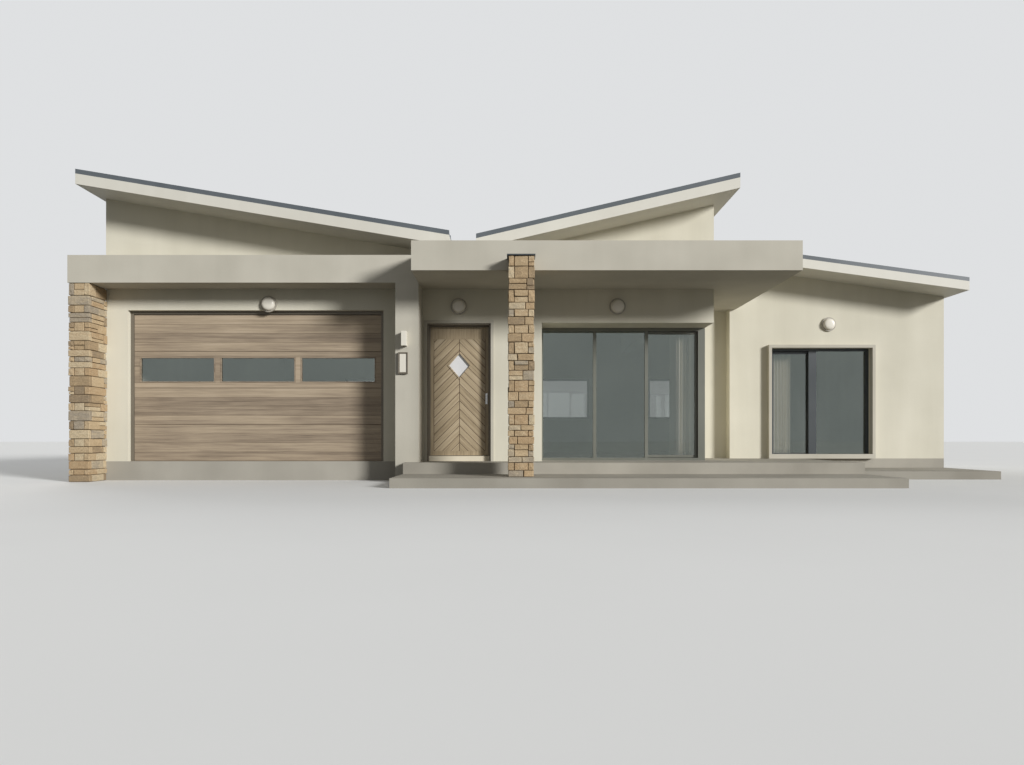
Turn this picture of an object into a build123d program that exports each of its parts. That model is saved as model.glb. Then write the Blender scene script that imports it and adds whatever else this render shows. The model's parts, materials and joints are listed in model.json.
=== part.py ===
from build123d import *
import math
import os

os.makedirs("parts", exist_ok=True)

# A single-storey house of three parts side by side: a garage on the left, the entry and
# living part in the middle, and a right wing set back from them. All sizes are in millimetres.
# X runs to the right along the front, Y runs back into the house and Z runs up.
# The ground is at Z = 0 and the outer faces of the front walls lie at Y = 0.

# Levels above the ground
floor_level = 330
step_level = 145
soffit_level = 3320
slab_height = 460
window_head = 2740
front_door_head = 2730
garage_door_head = 2957
patio_door_head = 2540

# Walls and the openings between them, from left to right
wall = 250
house_left = -7060
garage_left_jamb = 380
garage_door_width = 4445
garage_right_jamb = 757
front_door_width = 1109
entry_wall_width = 889
living_window_width = 2990
recess_width = 860
patio_left_wall = 810
patio_door_width = 2007
patio_right_wall = 1483

# Depths behind the line of the front walls
house_depth = 10000
window_setback = 620
wing_setback = 2080
recess_setback = 250

# Roofs: pitch in degrees, and the level of the sheet's top at the low edge
garage_roof_pitch = 9.33
garage_roof_low = 4148
living_roof_pitch = 12.99
living_roof_low = 4092
wing_roof_pitch = 7.69
wing_roof_low = 3813
deck_height = 170
fascia_thickness = 25
sheet_height = 42
rib_height = 35
rib_width = 70
rib_top_width = 30
rib_pitch = 450
verge_width = 60
roof_front_overhang = 745
roof_rear_overhang = 745
garage_roof_overhang = 116
living_roof_overhang = 242
wing_roof_overhang = 76
garage_roof_lap = 444
living_roof_lap = 222
gutter_thickness = 20
soffit_board = 150
clerestory_level = 3300

# Portal in front of the garage
portal_side = 340
portal_depth = 580
stone_pier_width = 370
rendered_pier_width = 385
pier_to_door = 79

# Canopy over the entry, on its stone column
canopy_depth = 1520
canopy_side = 976
column_width = 409
column_depth = 500
column_proud = 300
column_rise = 160
column_to_door = 303
cap_thickness = 20
cap_overhang = 10

# Platform and steps on the ground
platform_depth = 850
platform_past_pier = 220
platform_side = 2240
step_tread = 1400
terrace_depth = 1820

# Clearances: pieces that rest in a seat, pieces that move, and how far a cut reaches past them
seat_gap = 0.3
running_gap = 8
cut_over = 100

# Garage door
garage_door_setback = 100
garage_frame_face = 55
garage_frame_depth = 90
section_count = 4
section_thickness = 42
section_joint = 0.5
section_bevel = 5
tongue_width = 12
tongue_height = 10
tongue_gap = 0.5
window_section = 2
section_window_height = 454
section_window_margin = 98
section_window_divider = 90
section_window_count = 3
pane_thickness = 6

# Front door
front_door_setback = 140
door_frame_face = 25
door_frame_depth = 80
door_lining_depth = 120
door_stop_width = 20
door_stop_depth = 20
door_leaf_thickness = 55
leaf_to_stop = 5
threshold_height = 90
threshold_projection = 40
diamond_half_width = 188
diamond_half_height = 226
diamond_level = 2010
diamond_border = 30
groove_width = 7
groove_depth = 5
panel_side_margin = 75
panel_bottom_margin = 78
panel_top_margin = 226
chevron_pitch = 147
chevron_angle = 45
handle_level = 1425
handle_length = 190
handle_width = 36
handle_plate = 6
handle_reach = 45
handle_edge = 27
handle_grip = 14
hinge_radius = 8
hinge_pin_radius = 4
hinge_length = 110
hinge_plate = 3
hinge_plate_width = 34
hinge_margin = 230
hinge_count = 3
knuckles_per_hinge = 3
hinge_end_gap = 1

# Living room windows
living_light_count = 3
window_frame_face = 45
window_frame_head = 60
window_corner_post = 125
window_frame_depth = 120
window_mullion = 60
window_track = 55
sash_thickness = 45
sash_stile = 38
sash_rail = 42
track_rail_width = 8
track_rail_height = 10

# Patio door
patio_setback = 60
patio_frame_face = 50
patio_sash_opening = 748
patio_mullion = 155
patio_sash_stile = 50
patio_sill_height = 90
surround_face = 58
surround_proud = 120
door_trim_face = 50
door_trim_proud = 15

# Rear windows
rear_window_width = 1500
rear_window_sill = 1330
rear_window_head = 2540
rear_window_spread = 1250
rear_window_setback = 80
rear_frame_face = 60
rear_frame_depth = 80

# Lights and fittings
light_level = 3020
garage_light_level = 3060
light_radius = 142
light_base = 35
light_dome = 60
light_dome_inset = 22
light_dome_fillet = 35
garage_light_offset = 230
window_light_offset = 260
patio_light_offset = 167
lantern_width = 84
lantern_height = 243
lantern_depth = 140
lantern_level = 2378
lantern_wall = 8
lantern_hollow = 60
fitting_from_edge = 228
box_width = 158
box_height = 356
box_depth = 50
box_level = 1978
box_from_edge = 254
box_rim = 14
box_recess = 12

# Places that follow from the sizes above, from left to right
garage_door_left = house_left + garage_left_jamb
garage_door_right = garage_door_left + garage_door_width
front_door_left = garage_door_right + garage_right_jamb
front_door_right = front_door_left + front_door_width
front_door_centre = (front_door_left + front_door_right) / 2
window_left = front_door_right + entry_wall_width
centre_right = window_left + living_window_width
recess_right = centre_right + recess_width
patio_left = recess_right + patio_left_wall
patio_right = patio_left + patio_door_width
wing_right = patio_right + patio_right_wall
recess_front = wing_setback + recess_setback
rear_inner = house_depth - wall
slab_top = soffit_level + slab_height
portal_left = house_left - portal_side
portal_right = front_door_left - pier_to_door
canopy_right = centre_right + canopy_side
platform_left = portal_right - platform_past_pier
platform_right = centre_right + platform_side
window_back = window_setback + window_frame_depth

# Ends of the three roofs
garage_roof_left = house_left - garage_roof_overhang
garage_roof_right = front_door_left + garage_roof_lap
living_roof_left = front_door_right - living_roof_lap
living_roof_right = centre_right + living_roof_overhang
wing_roof_right = wing_right + wing_roof_overhang
roof_thickness = deck_height + sheet_height + rib_height


def garage_under(x):
    """Level of the garage roof's underside, which falls to the right."""
    rise = (garage_roof_right - x) * math.tan(math.radians(garage_roof_pitch))
    return garage_roof_low - roof_thickness + rise


def living_under(x):
    """Level of the living roof's underside, which rises to the right."""
    rise = (x - living_roof_left) * math.tan(math.radians(living_roof_pitch))
    return living_roof_low - roof_thickness + rise


def wing_under(x):
    """Level of the wing roof's underside, which falls to the right."""
    rise = (wing_roof_right - x) * math.tan(math.radians(wing_roof_pitch))
    return wing_roof_low - roof_thickness + rise


def section_plane(depth):
    """Upright plane across the house, seen from the front."""
    return Plane.XZ.offset(-depth)


def side_plane(x):
    """Upright plane along the house, with Y across and Z up."""
    return Plane.YZ.offset(x)


def panel(a0, a1, b0, b1, mode=Mode.ADD):
    """Rectangle between two pairs of coordinates of the sketch being drawn."""
    with Locations((a0, b0)):
        Rectangle(a1 - a0, b1 - b0, align=(Align.MIN, Align.MIN), mode=mode)


def gable(x0, x1, level, under):
    """Wall outline whose head follows the underside of a roof."""
    Polygon((x0, level), (x1, level), (x1, under(x1)), (x0, under(x0)), align=None)


def sloped_slab(x0, x1, y0, y1, under, lift, height, mode=Mode.ADD):
    """Slab that lies along a roof's slope, a given height above the underside."""
    with BuildSketch(side_plane(x0)) as end:
        panel(y0, y1, under(x0) + lift, under(x0) + lift + height)
    run = Vector(x1 - x0, 0, under(x1) - under(x0))
    extrude(end.sketch, amount=run.length, dir=run.normalized(), mode=mode)


# Floor slabs, platform and steps
with BuildPart() as main_floor:
    with BuildSketch(Plane.XY):
        panel(house_left, centre_right, 0, house_depth)
    extrude(amount=floor_level)
main_floor.part.label = "main_floor"
export_step(main_floor.part, "parts/main_floor.step")

with BuildPart() as wing_floor:
    with BuildSketch(Plane.XY):
        panel(centre_right, wing_right, recess_front, house_depth)
        panel(recess_right, wing_right, wing_setback, recess_front)
    extrude(amount=floor_level)
wing_floor.part.label = "wing_floor"
export_step(wing_floor.part, "parts/wing_floor.step")

with BuildPart() as entry_platform:
    with BuildSketch(Plane.XY):
        panel(platform_left, platform_right, -platform_depth, -portal_depth)
        panel(portal_right, platform_right, -portal_depth, 0)
        panel(centre_right, platform_right, 0, wing_setback)
        panel(centre_right, recess_right, wing_setback, recess_front)
    extrude(amount=floor_level)
entry_platform.part.label = "entry_platform"
export_step(entry_platform.part, "parts/entry_platform.step")

with BuildPart() as entry_step:
    with BuildSketch(Plane.XY):
        panel(platform_left, platform_right, -platform_depth - step_tread, -platform_depth)
    extrude(amount=step_level)
entry_step.part.label = "entry_step"
export_step(entry_step.part, "parts/entry_step.step")

with BuildPart() as patio_terrace:
    with BuildSketch(Plane.XY):
        panel(platform_right, wing_right, wing_setback - terrace_depth, wing_setback)
    extrude(amount=step_level)
patio_terrace.part.label = "patio_terrace"
export_step(patio_terrace.part, "parts/patio_terrace.step")

# Front walls of the garage and the entry
with BuildPart() as garage_wall_left:
    with BuildSketch(section_plane(wall)):
        panel(house_left, garage_door_left, floor_level, garage_door_head)
    extrude(amount=wall)
garage_wall_left.part.label = "garage_wall_left"
export_step(garage_wall_left.part, "parts/garage_wall_left.step")

with BuildPart() as garage_wall_right:
    with BuildSketch(section_plane(wall)):
        panel(garage_door_right, front_door_left, floor_level, garage_door_head)
    extrude(amount=wall)
garage_wall_right.part.label = "garage_wall_right"
export_step(garage_wall_right.part, "parts/garage_wall_right.step")

with BuildPart() as garage_gable_wall:
    with BuildSketch(section_plane(wall)):
        gable(house_left, front_door_left, garage_door_head, garage_under)
    extrude(amount=wall)
garage_gable_wall.part.label = "garage_gable_wall"
export_step(garage_gable_wall.part, "parts/garage_gable_wall.step")

with BuildPart() as entry_lintel_wall:
    with BuildSketch(section_plane(wall)):
        panel(front_door_left, front_door_right, front_door_head, slab_top)
    extrude(amount=wall)
entry_lintel_wall.part.label = "entry_lintel_wall"
export_step(entry_lintel_wall.part, "parts/entry_lintel_wall.step")

# The wall between door and windows turns back along the side of the set-back windows
with BuildPart() as entry_wall:
    with BuildSketch(Plane.XY.offset(floor_level)):
        panel(front_door_right, window_left, 0, wall)
        panel(window_left - wall, window_left, wall, window_back)
    extrude(amount=window_head - floor_level)
entry_wall.part.label = "entry_wall"
export_step(entry_wall.part, "parts/entry_wall.step")

# Gable wall over the windows, with the soffit that runs back from its foot to their head
with BuildPart() as living_gable_wall:
    with BuildSketch(section_plane(wall)):
        gable(front_door_right, centre_right, window_head, living_under)
    extrude(amount=wall)
    with BuildSketch(section_plane(window_back)):
        panel(window_left - wall, centre_right, window_head, window_head + soffit_board)
    extrude(amount=window_back - wall)
living_gable_wall.part.label = "living_gable_wall"
export_step(living_gable_wall.part, "parts/living_gable_wall.step")

# Side and rear walls
with BuildPart() as garage_side_wall:
    with BuildSketch(section_plane(rear_inner)):
        gable(house_left, house_left + wall, floor_level, garage_under)
    extrude(amount=rear_inner - wall)
garage_side_wall.part.label = "garage_side_wall"
export_step(garage_side_wall.part, "parts/garage_side_wall.step")

# The living part's side wall stands on the floor up to the wing and then bridges the wing room
with BuildPart() as living_side_wall:
    with BuildSketch(section_plane(window_back)):
        gable(centre_right - wall, centre_right, window_head + soffit_board, living_under)
    extrude(amount=window_back - wall)
    with BuildSketch(section_plane(recess_front + wall)):
        gable(centre_right - wall, centre_right, floor_level, living_under)
    extrude(amount=recess_front + wall - window_back)
    with BuildSketch(section_plane(rear_inner)):
        gable(centre_right - wall, centre_right, clerestory_level, living_under)
    extrude(amount=rear_inner - recess_front - wall)
living_side_wall.part.label = "living_side_wall"
export_step(living_side_wall.part, "parts/living_side_wall.step")

living_centre = (front_door_right + centre_right) / 2
wing_centre = (centre_right + wing_right) / 2
main_rear_windows = [(house_left + front_door_left) / 2, living_centre]
wing_rear_windows = [wing_centre - rear_window_spread, wing_centre + rear_window_spread]


def rear_window_holes(centres):
    """Window openings through the rear wall that is being drawn."""
    half = rear_window_width / 2
    for centre in centres:
        panel(centre - half, centre + half, rear_window_sill, rear_window_head, mode=Mode.SUBTRACT)


with BuildPart() as main_rear_wall:
    with BuildSketch(section_plane(house_depth)):
        gable(house_left, front_door_left, floor_level, garage_under)
        panel(front_door_left, front_door_right, floor_level, slab_top)
        gable(front_door_right, centre_right, floor_level, living_under)
        rear_window_holes(main_rear_windows)
    extrude(amount=wall)
main_rear_wall.part.label = "main_rear_wall"
export_step(main_rear_wall.part, "parts/main_rear_wall.step")

with BuildPart() as wing_rear_wall:
    with BuildSketch(section_plane(house_depth)):
        gable(centre_right, wing_right, floor_level, wing_under)
        rear_window_holes(wing_rear_windows)
    extrude(amount=wall)
wing_rear_wall.part.label = "wing_rear_wall"
export_step(wing_rear_wall.part, "parts/wing_rear_wall.step")

# Front and side walls of the wing
with BuildPart() as recess_wall:
    with BuildSketch(section_plane(recess_front + wall)):
        gable(centre_right, recess_right + wall, floor_level, wing_under)
    extrude(amount=wall)
recess_wall.part.label = "recess_wall"
export_step(recess_wall.part, "parts/recess_wall.step")

with BuildPart() as wing_wall_left:
    with BuildSketch(section_plane(wing_setback + wall)):
        panel(recess_right, patio_left, floor_level, patio_door_head)
    extrude(amount=wall)
wing_wall_left.part.label = "wing_wall_left"
export_step(wing_wall_left.part, "parts/wing_wall_left.step")

with BuildPart() as wing_wall_right:
    with BuildSketch(section_plane(wing_setback + wall)):
        panel(patio_right, wing_right, floor_level, patio_door_head)
    extrude(amount=wall)
wing_wall_right.part.label = "wing_wall_right"
export_step(wing_wall_right.part, "parts/wing_wall_right.step")

with BuildPart() as wing_gable_wall:
    with BuildSketch(section_plane(wing_setback + wall)):
        gable(recess_right, wing_right, patio_door_head, wing_under)
    extrude(amount=wall)
wing_gable_wall.part.label = "wing_gable_wall"
export_step(wing_gable_wall.part, "parts/wing_gable_wall.step")

with BuildPart() as wing_side_wall:
    with BuildSketch(section_plane(rear_inner)):
        gable(wing_right - wall, wing_right, floor_level, wing_under)
    extrude(amount=rear_inner - wing_setback - wall)
wing_side_wall.part.label = "wing_side_wall"
export_step(wing_side_wall.part, "parts/wing_side_wall.step")

# Roofs: each has a deck boxed in by a fascia, under a ribbed sheet whose ribs run down the slope
roof_back = house_depth + roof_rear_overhang
main_roof_front = -roof_front_overhang
wing_roof_front = wing_setback - roof_front_overhang


def roof_deck(x0, x1, front, under):
    """Deck of one roof, inside its fascia."""
    t = fascia_thickness
    sloped_slab(x0 + t, x1 - t, front + t, roof_back - t, under, 0, deck_height)


def roof_fascia(x0, x1, front, under):
    """Fascia boards round one roof's deck, as a ring that follows the slope."""
    t = fascia_thickness
    sloped_slab(x0, x1, front, roof_back, under, 0, deck_height)
    sloped_slab(x0 + t, x1 - t, front + t, roof_back - t, under, -cut_over,
                deck_height + 2 * cut_over, mode=Mode.SUBTRACT)


def roof_sheet(x0, x1, front, under):
    """Ribbed sheet of one roof, drawn across its ribs and run down the slope."""
    base = under(x0) + deck_height
    low = base + sheet_height
    high = low + rib_height
    rib_count = int((roof_back - front - 2 * verge_width) // rib_pitch)
    first = (front + roof_back - (rib_count - 1) * rib_pitch) / 2
    points = [(front, base), (front, high), (front + verge_width, high), (front + verge_width, low)]
    for index in range(rib_count):
        centre = first + index * rib_pitch
        points.append((centre - rib_width / 2, low))
        points.append((centre - rib_top_width / 2, high))
        points.append((centre + rib_top_width / 2, high))
        points.append((centre + rib_width / 2, low))
    points.append((roof_back - verge_width, low))
    points.append((roof_back - verge_width, high))
    points.append((roof_back, high))
    points.append((roof_back, base))
    with BuildSketch(side_plane(x0)) as end:
        Polygon(*points, align=None)
    run = Vector(x1 - x0, 0, under(x1) - under(x0))
    extrude(end.sketch, amount=run.length, dir=run.normalized())


with BuildPart() as garage_roof_deck:
    roof_deck(garage_roof_left, garage_roof_right, main_roof_front, garage_under)
garage_roof_deck.part.label = "garage_roof_deck"
export_step(garage_roof_deck.part, "parts/garage_roof_deck.step")

with BuildPart() as living_roof_deck:
    roof_deck(living_roof_left, living_roof_right, main_roof_front, living_under)
living_roof_deck.part.label = "living_roof_deck"
export_step(living_roof_deck.part, "parts/living_roof_deck.step")

with BuildPart() as wing_roof_deck:
    roof_deck(centre_right, wing_roof_right, wing_roof_front, wing_under)
wing_roof_deck.part.label = "wing_roof_deck"
export_step(wing_roof_deck.part, "parts/wing_roof_deck.step")

with BuildPart() as roof_fascias:
    roof_fascia(garage_roof_left, garage_roof_right, main_roof_front, garage_under)
    roof_fascia(living_roof_left, living_roof_right, main_roof_front, living_under)
    roof_fascia(centre_right, wing_roof_right, wing_roof_front, wing_under)
roof_fascias.part.label = "roof_fascias"
export_step(roof_fascias.part, "parts/roof_fascias.step")

with BuildPart() as garage_roof_sheet:
    roof_sheet(garage_roof_left, garage_roof_right, main_roof_front, garage_under)
garage_roof_sheet.part.label = "garage_roof_sheet"
export_step(garage_roof_sheet.part, "parts/garage_roof_sheet.step")

with BuildPart() as living_roof_sheet:
    roof_sheet(living_roof_left, living_roof_right, main_roof_front, living_under)
living_roof_sheet.part.label = "living_roof_sheet"
export_step(living_roof_sheet.part, "parts/living_roof_sheet.step")

with BuildPart() as wing_roof_sheet:
    roof_sheet(centre_right, wing_roof_right, wing_roof_front, wing_under)
wing_roof_sheet.part.label = "wing_roof_sheet"
export_step(wing_roof_sheet.part, "parts/wing_roof_sheet.step")

# Valley gutter: a trough between the low edges of the garage roof and the living roof
with BuildPart() as valley_gutter:
    left_inner = front_door_left + gutter_thickness
    right_inner = front_door_right - gutter_thickness
    trough_floor = slab_top + gutter_thickness
    trough_rim = min(garage_under(garage_roof_right), living_under(living_roof_left))
    with BuildSketch(section_plane(house_depth)):
        panel(front_door_left, front_door_right, slab_top, trough_floor)
        gable(front_door_left, left_inner, slab_top, garage_under)
        gable(right_inner, front_door_right, slab_top, living_under)
    extrude(amount=house_depth)
    with BuildSketch(section_plane(house_depth), section_plane(gutter_thickness)):
        panel(left_inner, right_inner, trough_floor, trough_rim)
    extrude(amount=gutter_thickness)
valley_gutter.part.label = "valley_gutter"
export_step(valley_gutter.part, "parts/valley_gutter.step")

# Portal in front of the garage
with BuildPart() as portal_slab:
    with BuildSketch(section_plane(0)):
        panel(portal_left, portal_right, soffit_level, slab_top)
    extrude(amount=portal_depth)
portal_slab.part.label = "portal_slab"
export_step(portal_slab.part, "parts/portal_slab.step")

with BuildPart() as stone_pier:
    with BuildSketch(section_plane(0)):
        panel(portal_left, portal_left + stone_pier_width, 0, soffit_level)
    extrude(amount=portal_depth)
stone_pier.part.label = "stone_pier"
export_step(stone_pier.part, "parts/stone_pier.step")

with BuildPart() as rendered_pier:
    with BuildSketch(section_plane(0)):
        panel(portal_right - rendered_pier_width, portal_right, 0, soffit_level)
    extrude(amount=portal_depth)
rendered_pier.part.label = "rendered_pier"
export_step(rendered_pier.part, "parts/rendered_pier.step")

# Canopy slab, which turns back along the living part to the wing's wall
with BuildPart() as canopy:
    with BuildSketch(Plane.XY.offset(soffit_level)):
        panel(portal_right, canopy_right, -canopy_depth, 0)
        panel(centre_right, canopy_right, 0, wing_setback)
        panel(centre_right, min(canopy_right, recess_right), wing_setback, recess_front)
    extrude(amount=slab_height)
canopy.part.label = "canopy"
export_step(canopy.part, "parts/canopy.step")

# Stone column: it carries the slab on a notch and rises in front of the slab's edge
column_left = front_door_right + column_to_door
column_front = -canopy_depth - column_proud
column_top = soffit_level + column_rise
with BuildPart() as stone_column:
    with BuildSketch(side_plane(column_left)):
        panel(column_front, column_front + column_depth, step_level, soffit_level)
        panel(column_front, -canopy_depth, soffit_level, column_top)
    extrude(amount=column_width)
stone_column.part.label = "stone_column"
export_step(stone_column.part, "parts/stone_column.step")

with BuildPart() as column_cap:
    with BuildSketch(Plane.XY.offset(column_top)):
        panel(column_left - cap_overhang, column_left + column_width + cap_overhang,
              column_front - cap_overhang, -canopy_depth)
    extrude(amount=cap_thickness)
column_cap.part.label = "column_cap"
export_step(column_cap.part, "parts/column_cap.step")

# Sectional garage door in its frame
garage_inner_left = garage_door_left + garage_frame_face
garage_inner_right = garage_door_right - garage_frame_face
garage_inner_head = garage_door_head - garage_frame_face
with BuildPart() as garage_door_frame:
    with BuildSketch(section_plane(garage_door_setback + garage_frame_depth)):
        panel(garage_door_left, garage_door_right, floor_level, garage_door_head)
        panel(garage_inner_left, garage_inner_right, floor_level, garage_inner_head,
              mode=Mode.SUBTRACT)
    extrude(amount=garage_frame_depth)
garage_door_frame.part.label = "garage_door_frame"
export_step(garage_door_frame.part, "parts/garage_door_frame.step")

section_left = garage_inner_left + seat_gap
section_right = garage_inner_right - seat_gap
section_front = garage_door_setback + (garage_frame_depth - section_thickness) / 2
section_back = section_front + section_thickness
stack_height = garage_inner_head - floor_level - 2 * seat_gap - tongue_height
section_height = (stack_height - (section_count - 1) * section_joint) / section_count
window_base = floor_level + seat_gap + window_section * (section_height + section_joint)
section_window_sill = window_base + (section_height - section_window_height) / 2
window_run = section_right - section_left - 2 * section_window_margin
section_window_pitch = (window_run + section_window_divider) / section_window_count
section_window_width = section_window_pitch - section_window_divider


def section_profile(base):
    """End view of one door section: bevelled front edges, a groove below and a tongue above."""
    top = base + section_height
    middle = (section_front + section_back) / 2
    tongue = tongue_width / 2
    groove = tongue + tongue_gap
    Polygon(
        (section_front, base + section_bevel),
        (section_front + section_bevel, base),
        (middle - groove, base),
        (middle - groove, base + tongue_height + tongue_gap),
        (middle + groove, base + tongue_height + tongue_gap),
        (middle + groove, base),
        (section_back, base),
        (section_back, top),
        (middle + tongue, top),
        (middle + tongue, top + tongue_height),
        (middle - tongue, top + tongue_height),
        (middle - tongue, top),
        (section_front + section_bevel, top),
        (section_front, top - section_bevel),
        align=None,
    )


def section_windows():
    """The row of panes, side by side along one section."""
    for index in range(section_window_count):
        left = section_left + section_window_margin + index * section_window_pitch
        panel(left, left + section_window_width, section_window_sill,
              section_window_sill + section_window_height)


with BuildPart() as garage_door:
    with BuildSketch(side_plane(section_left)):
        for index in range(section_count):
            section_profile(floor_level + seat_gap + index * (section_height + section_joint))
    extrude(amount=section_right - section_left)
    with BuildSketch(section_plane(section_back)):
        section_windows()
    extrude(amount=section_thickness, mode=Mode.SUBTRACT)
garage_door.part.label = "garage_door"
export_step(garage_door.part, "parts/garage_door.step")

with BuildPart() as garage_door_glass:
    with BuildSketch(section_plane((section_front + section_back + pane_thickness) / 2)):
        section_windows()
    extrude(amount=pane_thickness)
garage_door_glass.part.label = "garage_door_glass"
export_step(garage_door_glass.part, "parts/garage_door_glass.step")

# Front door: frame that lines the opening, with a stop, threshold, leaf, pane, handle and hinges
door_inner_left = front_door_left + door_frame_face
door_inner_right = front_door_right - door_frame_face
door_inner_head = front_door_head - door_frame_face
door_frame_back = front_door_setback + door_frame_depth
threshold_top = floor_level + threshold_height
with BuildPart() as front_door_frame:
    with BuildSketch(section_plane(door_frame_back)):
        panel(front_door_left, front_door_right, floor_level, front_door_head)
        panel(door_inner_left, door_inner_right, floor_level, door_inner_head, mode=Mode.SUBTRACT)
    extrude(amount=door_frame_depth + door_lining_depth)
    with BuildSketch(section_plane(front_door_setback + door_stop_depth)):
        panel(door_inner_left, door_inner_right, threshold_top, door_inner_head)
        panel(door_inner_left + door_stop_width, door_inner_right - door_stop_width,
              threshold_top, door_inner_head - door_stop_width, mode=Mode.SUBTRACT)
    extrude(amount=door_stop_depth)
front_door_frame.part.label = "front_door_frame"
export_step(front_door_frame.part, "parts/front_door_frame.step")

with BuildPart() as front_door_threshold:
    with BuildSketch(section_plane(door_frame_back)):
        panel(door_inner_left, door_inner_right, floor_level, threshold_top)
    extrude(amount=door_frame_depth + threshold_projection)
front_door_threshold.part.label = "front_door_threshold"
export_step(front_door_threshold.part, "parts/front_door_threshold.step")

leaf_left = door_inner_left + running_gap
leaf_right = door_inner_right - running_gap
leaf_bottom = threshold_top + running_gap
leaf_top = door_inner_head - running_gap
leaf_front = front_door_setback + door_stop_depth + leaf_to_stop
leaf_back = leaf_front + door_leaf_thickness
board_left = leaf_left + panel_side_margin
board_right = leaf_right - panel_side_margin
board_bottom = leaf_bottom + panel_bottom_margin
board_top = leaf_top - panel_top_margin


def diamond(border=0, mode=Mode.ADD):
    """Outline of the diamond pane, or of the border round it."""
    half_width = diamond_half_width + border
    half_height = diamond_half_height + border
    Polygon(
        (front_door_centre - half_width, diamond_level),
        (front_door_centre, diamond_level - half_height),
        (front_door_centre + half_width, diamond_level),
        (front_door_centre, diamond_level + half_height),
        align=None,
        mode=mode,
    )


# The grooves between the chevron boards fall from the centre line to both sides
with BuildSketch(section_plane(leaf_front)) as chevron_grooves:
    half_board = (board_right - board_left) / 2
    drop = half_board * math.tan(math.radians(chevron_angle))
    edge = groove_width / math.cos(math.radians(chevron_angle))
    chevron_count = int((board_top + drop - board_bottom) // chevron_pitch)
    for index in range(1, chevron_count + 1):
        peak = board_bottom + index * chevron_pitch
        for outer in (board_left, board_right):
            Polygon((front_door_centre, peak), (outer, peak - drop), (outer, peak - drop + edge),
                    (front_door_centre, peak + edge), align=None)
    panel(board_left, board_right, board_bottom, board_top, mode=Mode.INTERSECT)
    half_groove = groove_width / 2
    panel(front_door_centre - half_groove, front_door_centre + half_groove, board_bottom, board_top)
    diamond(diamond_border, Mode.SUBTRACT)
    for left in (board_left - groove_width, board_right):
        panel(left, left + groove_width, board_bottom - groove_width, board_top + groove_width)
    for bottom in (board_bottom - groove_width, board_top):
        panel(board_left, board_right, bottom, bottom + groove_width)

with BuildPart() as front_door_leaf:
    with BuildSketch(section_plane(leaf_back)):
        panel(leaf_left, leaf_right, leaf_bottom, leaf_top)
        diamond(mode=Mode.SUBTRACT)
    extrude(amount=door_leaf_thickness)
    extrude(chevron_grooves.sketch, amount=-groove_depth, mode=Mode.SUBTRACT)
front_door_leaf.part.label = "front_door_leaf"
export_step(front_door_leaf.part, "parts/front_door_leaf.step")

with BuildPart() as front_door_glass:
    with BuildSketch(section_plane((leaf_front + leaf_back + pane_thickness) / 2)):
        diamond()
    extrude(amount=pane_thickness)
front_door_glass.part.label = "front_door_glass"
export_step(front_door_glass.part, "parts/front_door_glass.step")

handle_right = leaf_right - handle_edge
handle_left = handle_right - handle_width
handle_bottom = handle_level - handle_length / 2
handle_centre = (handle_left + handle_right) / 2
with BuildPart() as front_door_handle:
    with BuildSketch(section_plane(leaf_front)):
        panel(handle_left, handle_right, handle_bottom, handle_bottom + handle_length)
    extrude(amount=handle_plate)
    with BuildSketch(side_plane(handle_centre - handle_grip / 2)):
        panel(leaf_front - handle_reach, leaf_front - handle_plate,
              handle_bottom + handle_grip, handle_bottom + handle_length - handle_grip)
        panel(leaf_front - handle_reach + handle_grip, leaf_front - handle_plate,
              handle_bottom + 2 * handle_grip, handle_bottom + handle_length - 2 * handle_grip,
              mode=Mode.SUBTRACT)
    extrude(amount=handle_grip)
front_door_handle.part.label = "front_door_handle"
export_step(front_door_handle.part, "parts/front_door_handle.step")

# Butt hinges: two knuckles and the pin stay on the frame, the middle knuckle turns with the leaf
hinge_x = door_inner_left + running_gap / 2
hinge_y = leaf_back + hinge_radius + hinge_end_gap
hinge_run = (leaf_top - leaf_bottom - 2 * hinge_margin) / (hinge_count - 1)
hinge_bases = [leaf_bottom + hinge_margin - hinge_length / 2 + index * hinge_run
               for index in range(hinge_count)]
knuckle = (hinge_length - 2 * hinge_end_gap) / knuckles_per_hinge
fixed_plate_left = hinge_x - hinge_plate_width + hinge_radius
with BuildPart() as front_door_hinges:
    for base in hinge_bases:
        for start in (base, base + hinge_length - knuckle):
            with BuildSketch(Plane.XY.offset(start)):
                with Locations((hinge_x, hinge_y)):
                    Circle(hinge_radius)
                panel(fixed_plate_left, hinge_x, leaf_back, leaf_back + hinge_plate)
            extrude(amount=knuckle)
        with BuildSketch(Plane.XY.offset(base)):
            with Locations((hinge_x, hinge_y)):
                Circle(hinge_pin_radius)
        extrude(amount=hinge_length)
front_door_hinges.part.label = "front_door_hinges"
export_step(front_door_hinges.part, "parts/front_door_hinges.step")

with BuildPart() as front_door_knuckles:
    for base in hinge_bases:
        with BuildSketch(Plane.XY.offset(base + knuckle + hinge_end_gap)):
            with Locations((hinge_x, hinge_y)):
                Circle(hinge_radius)
            panel(hinge_x, hinge_x + hinge_plate_width, leaf_back, leaf_back + hinge_plate)
            with Locations((hinge_x, hinge_y)):
                Circle(hinge_pin_radius + seat_gap, mode=Mode.SUBTRACT)
        extrude(amount=knuckle)
front_door_knuckles.part.label = "front_door_knuckles"
export_step(front_door_knuckles.part, "parts/front_door_knuckles.step")

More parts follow.
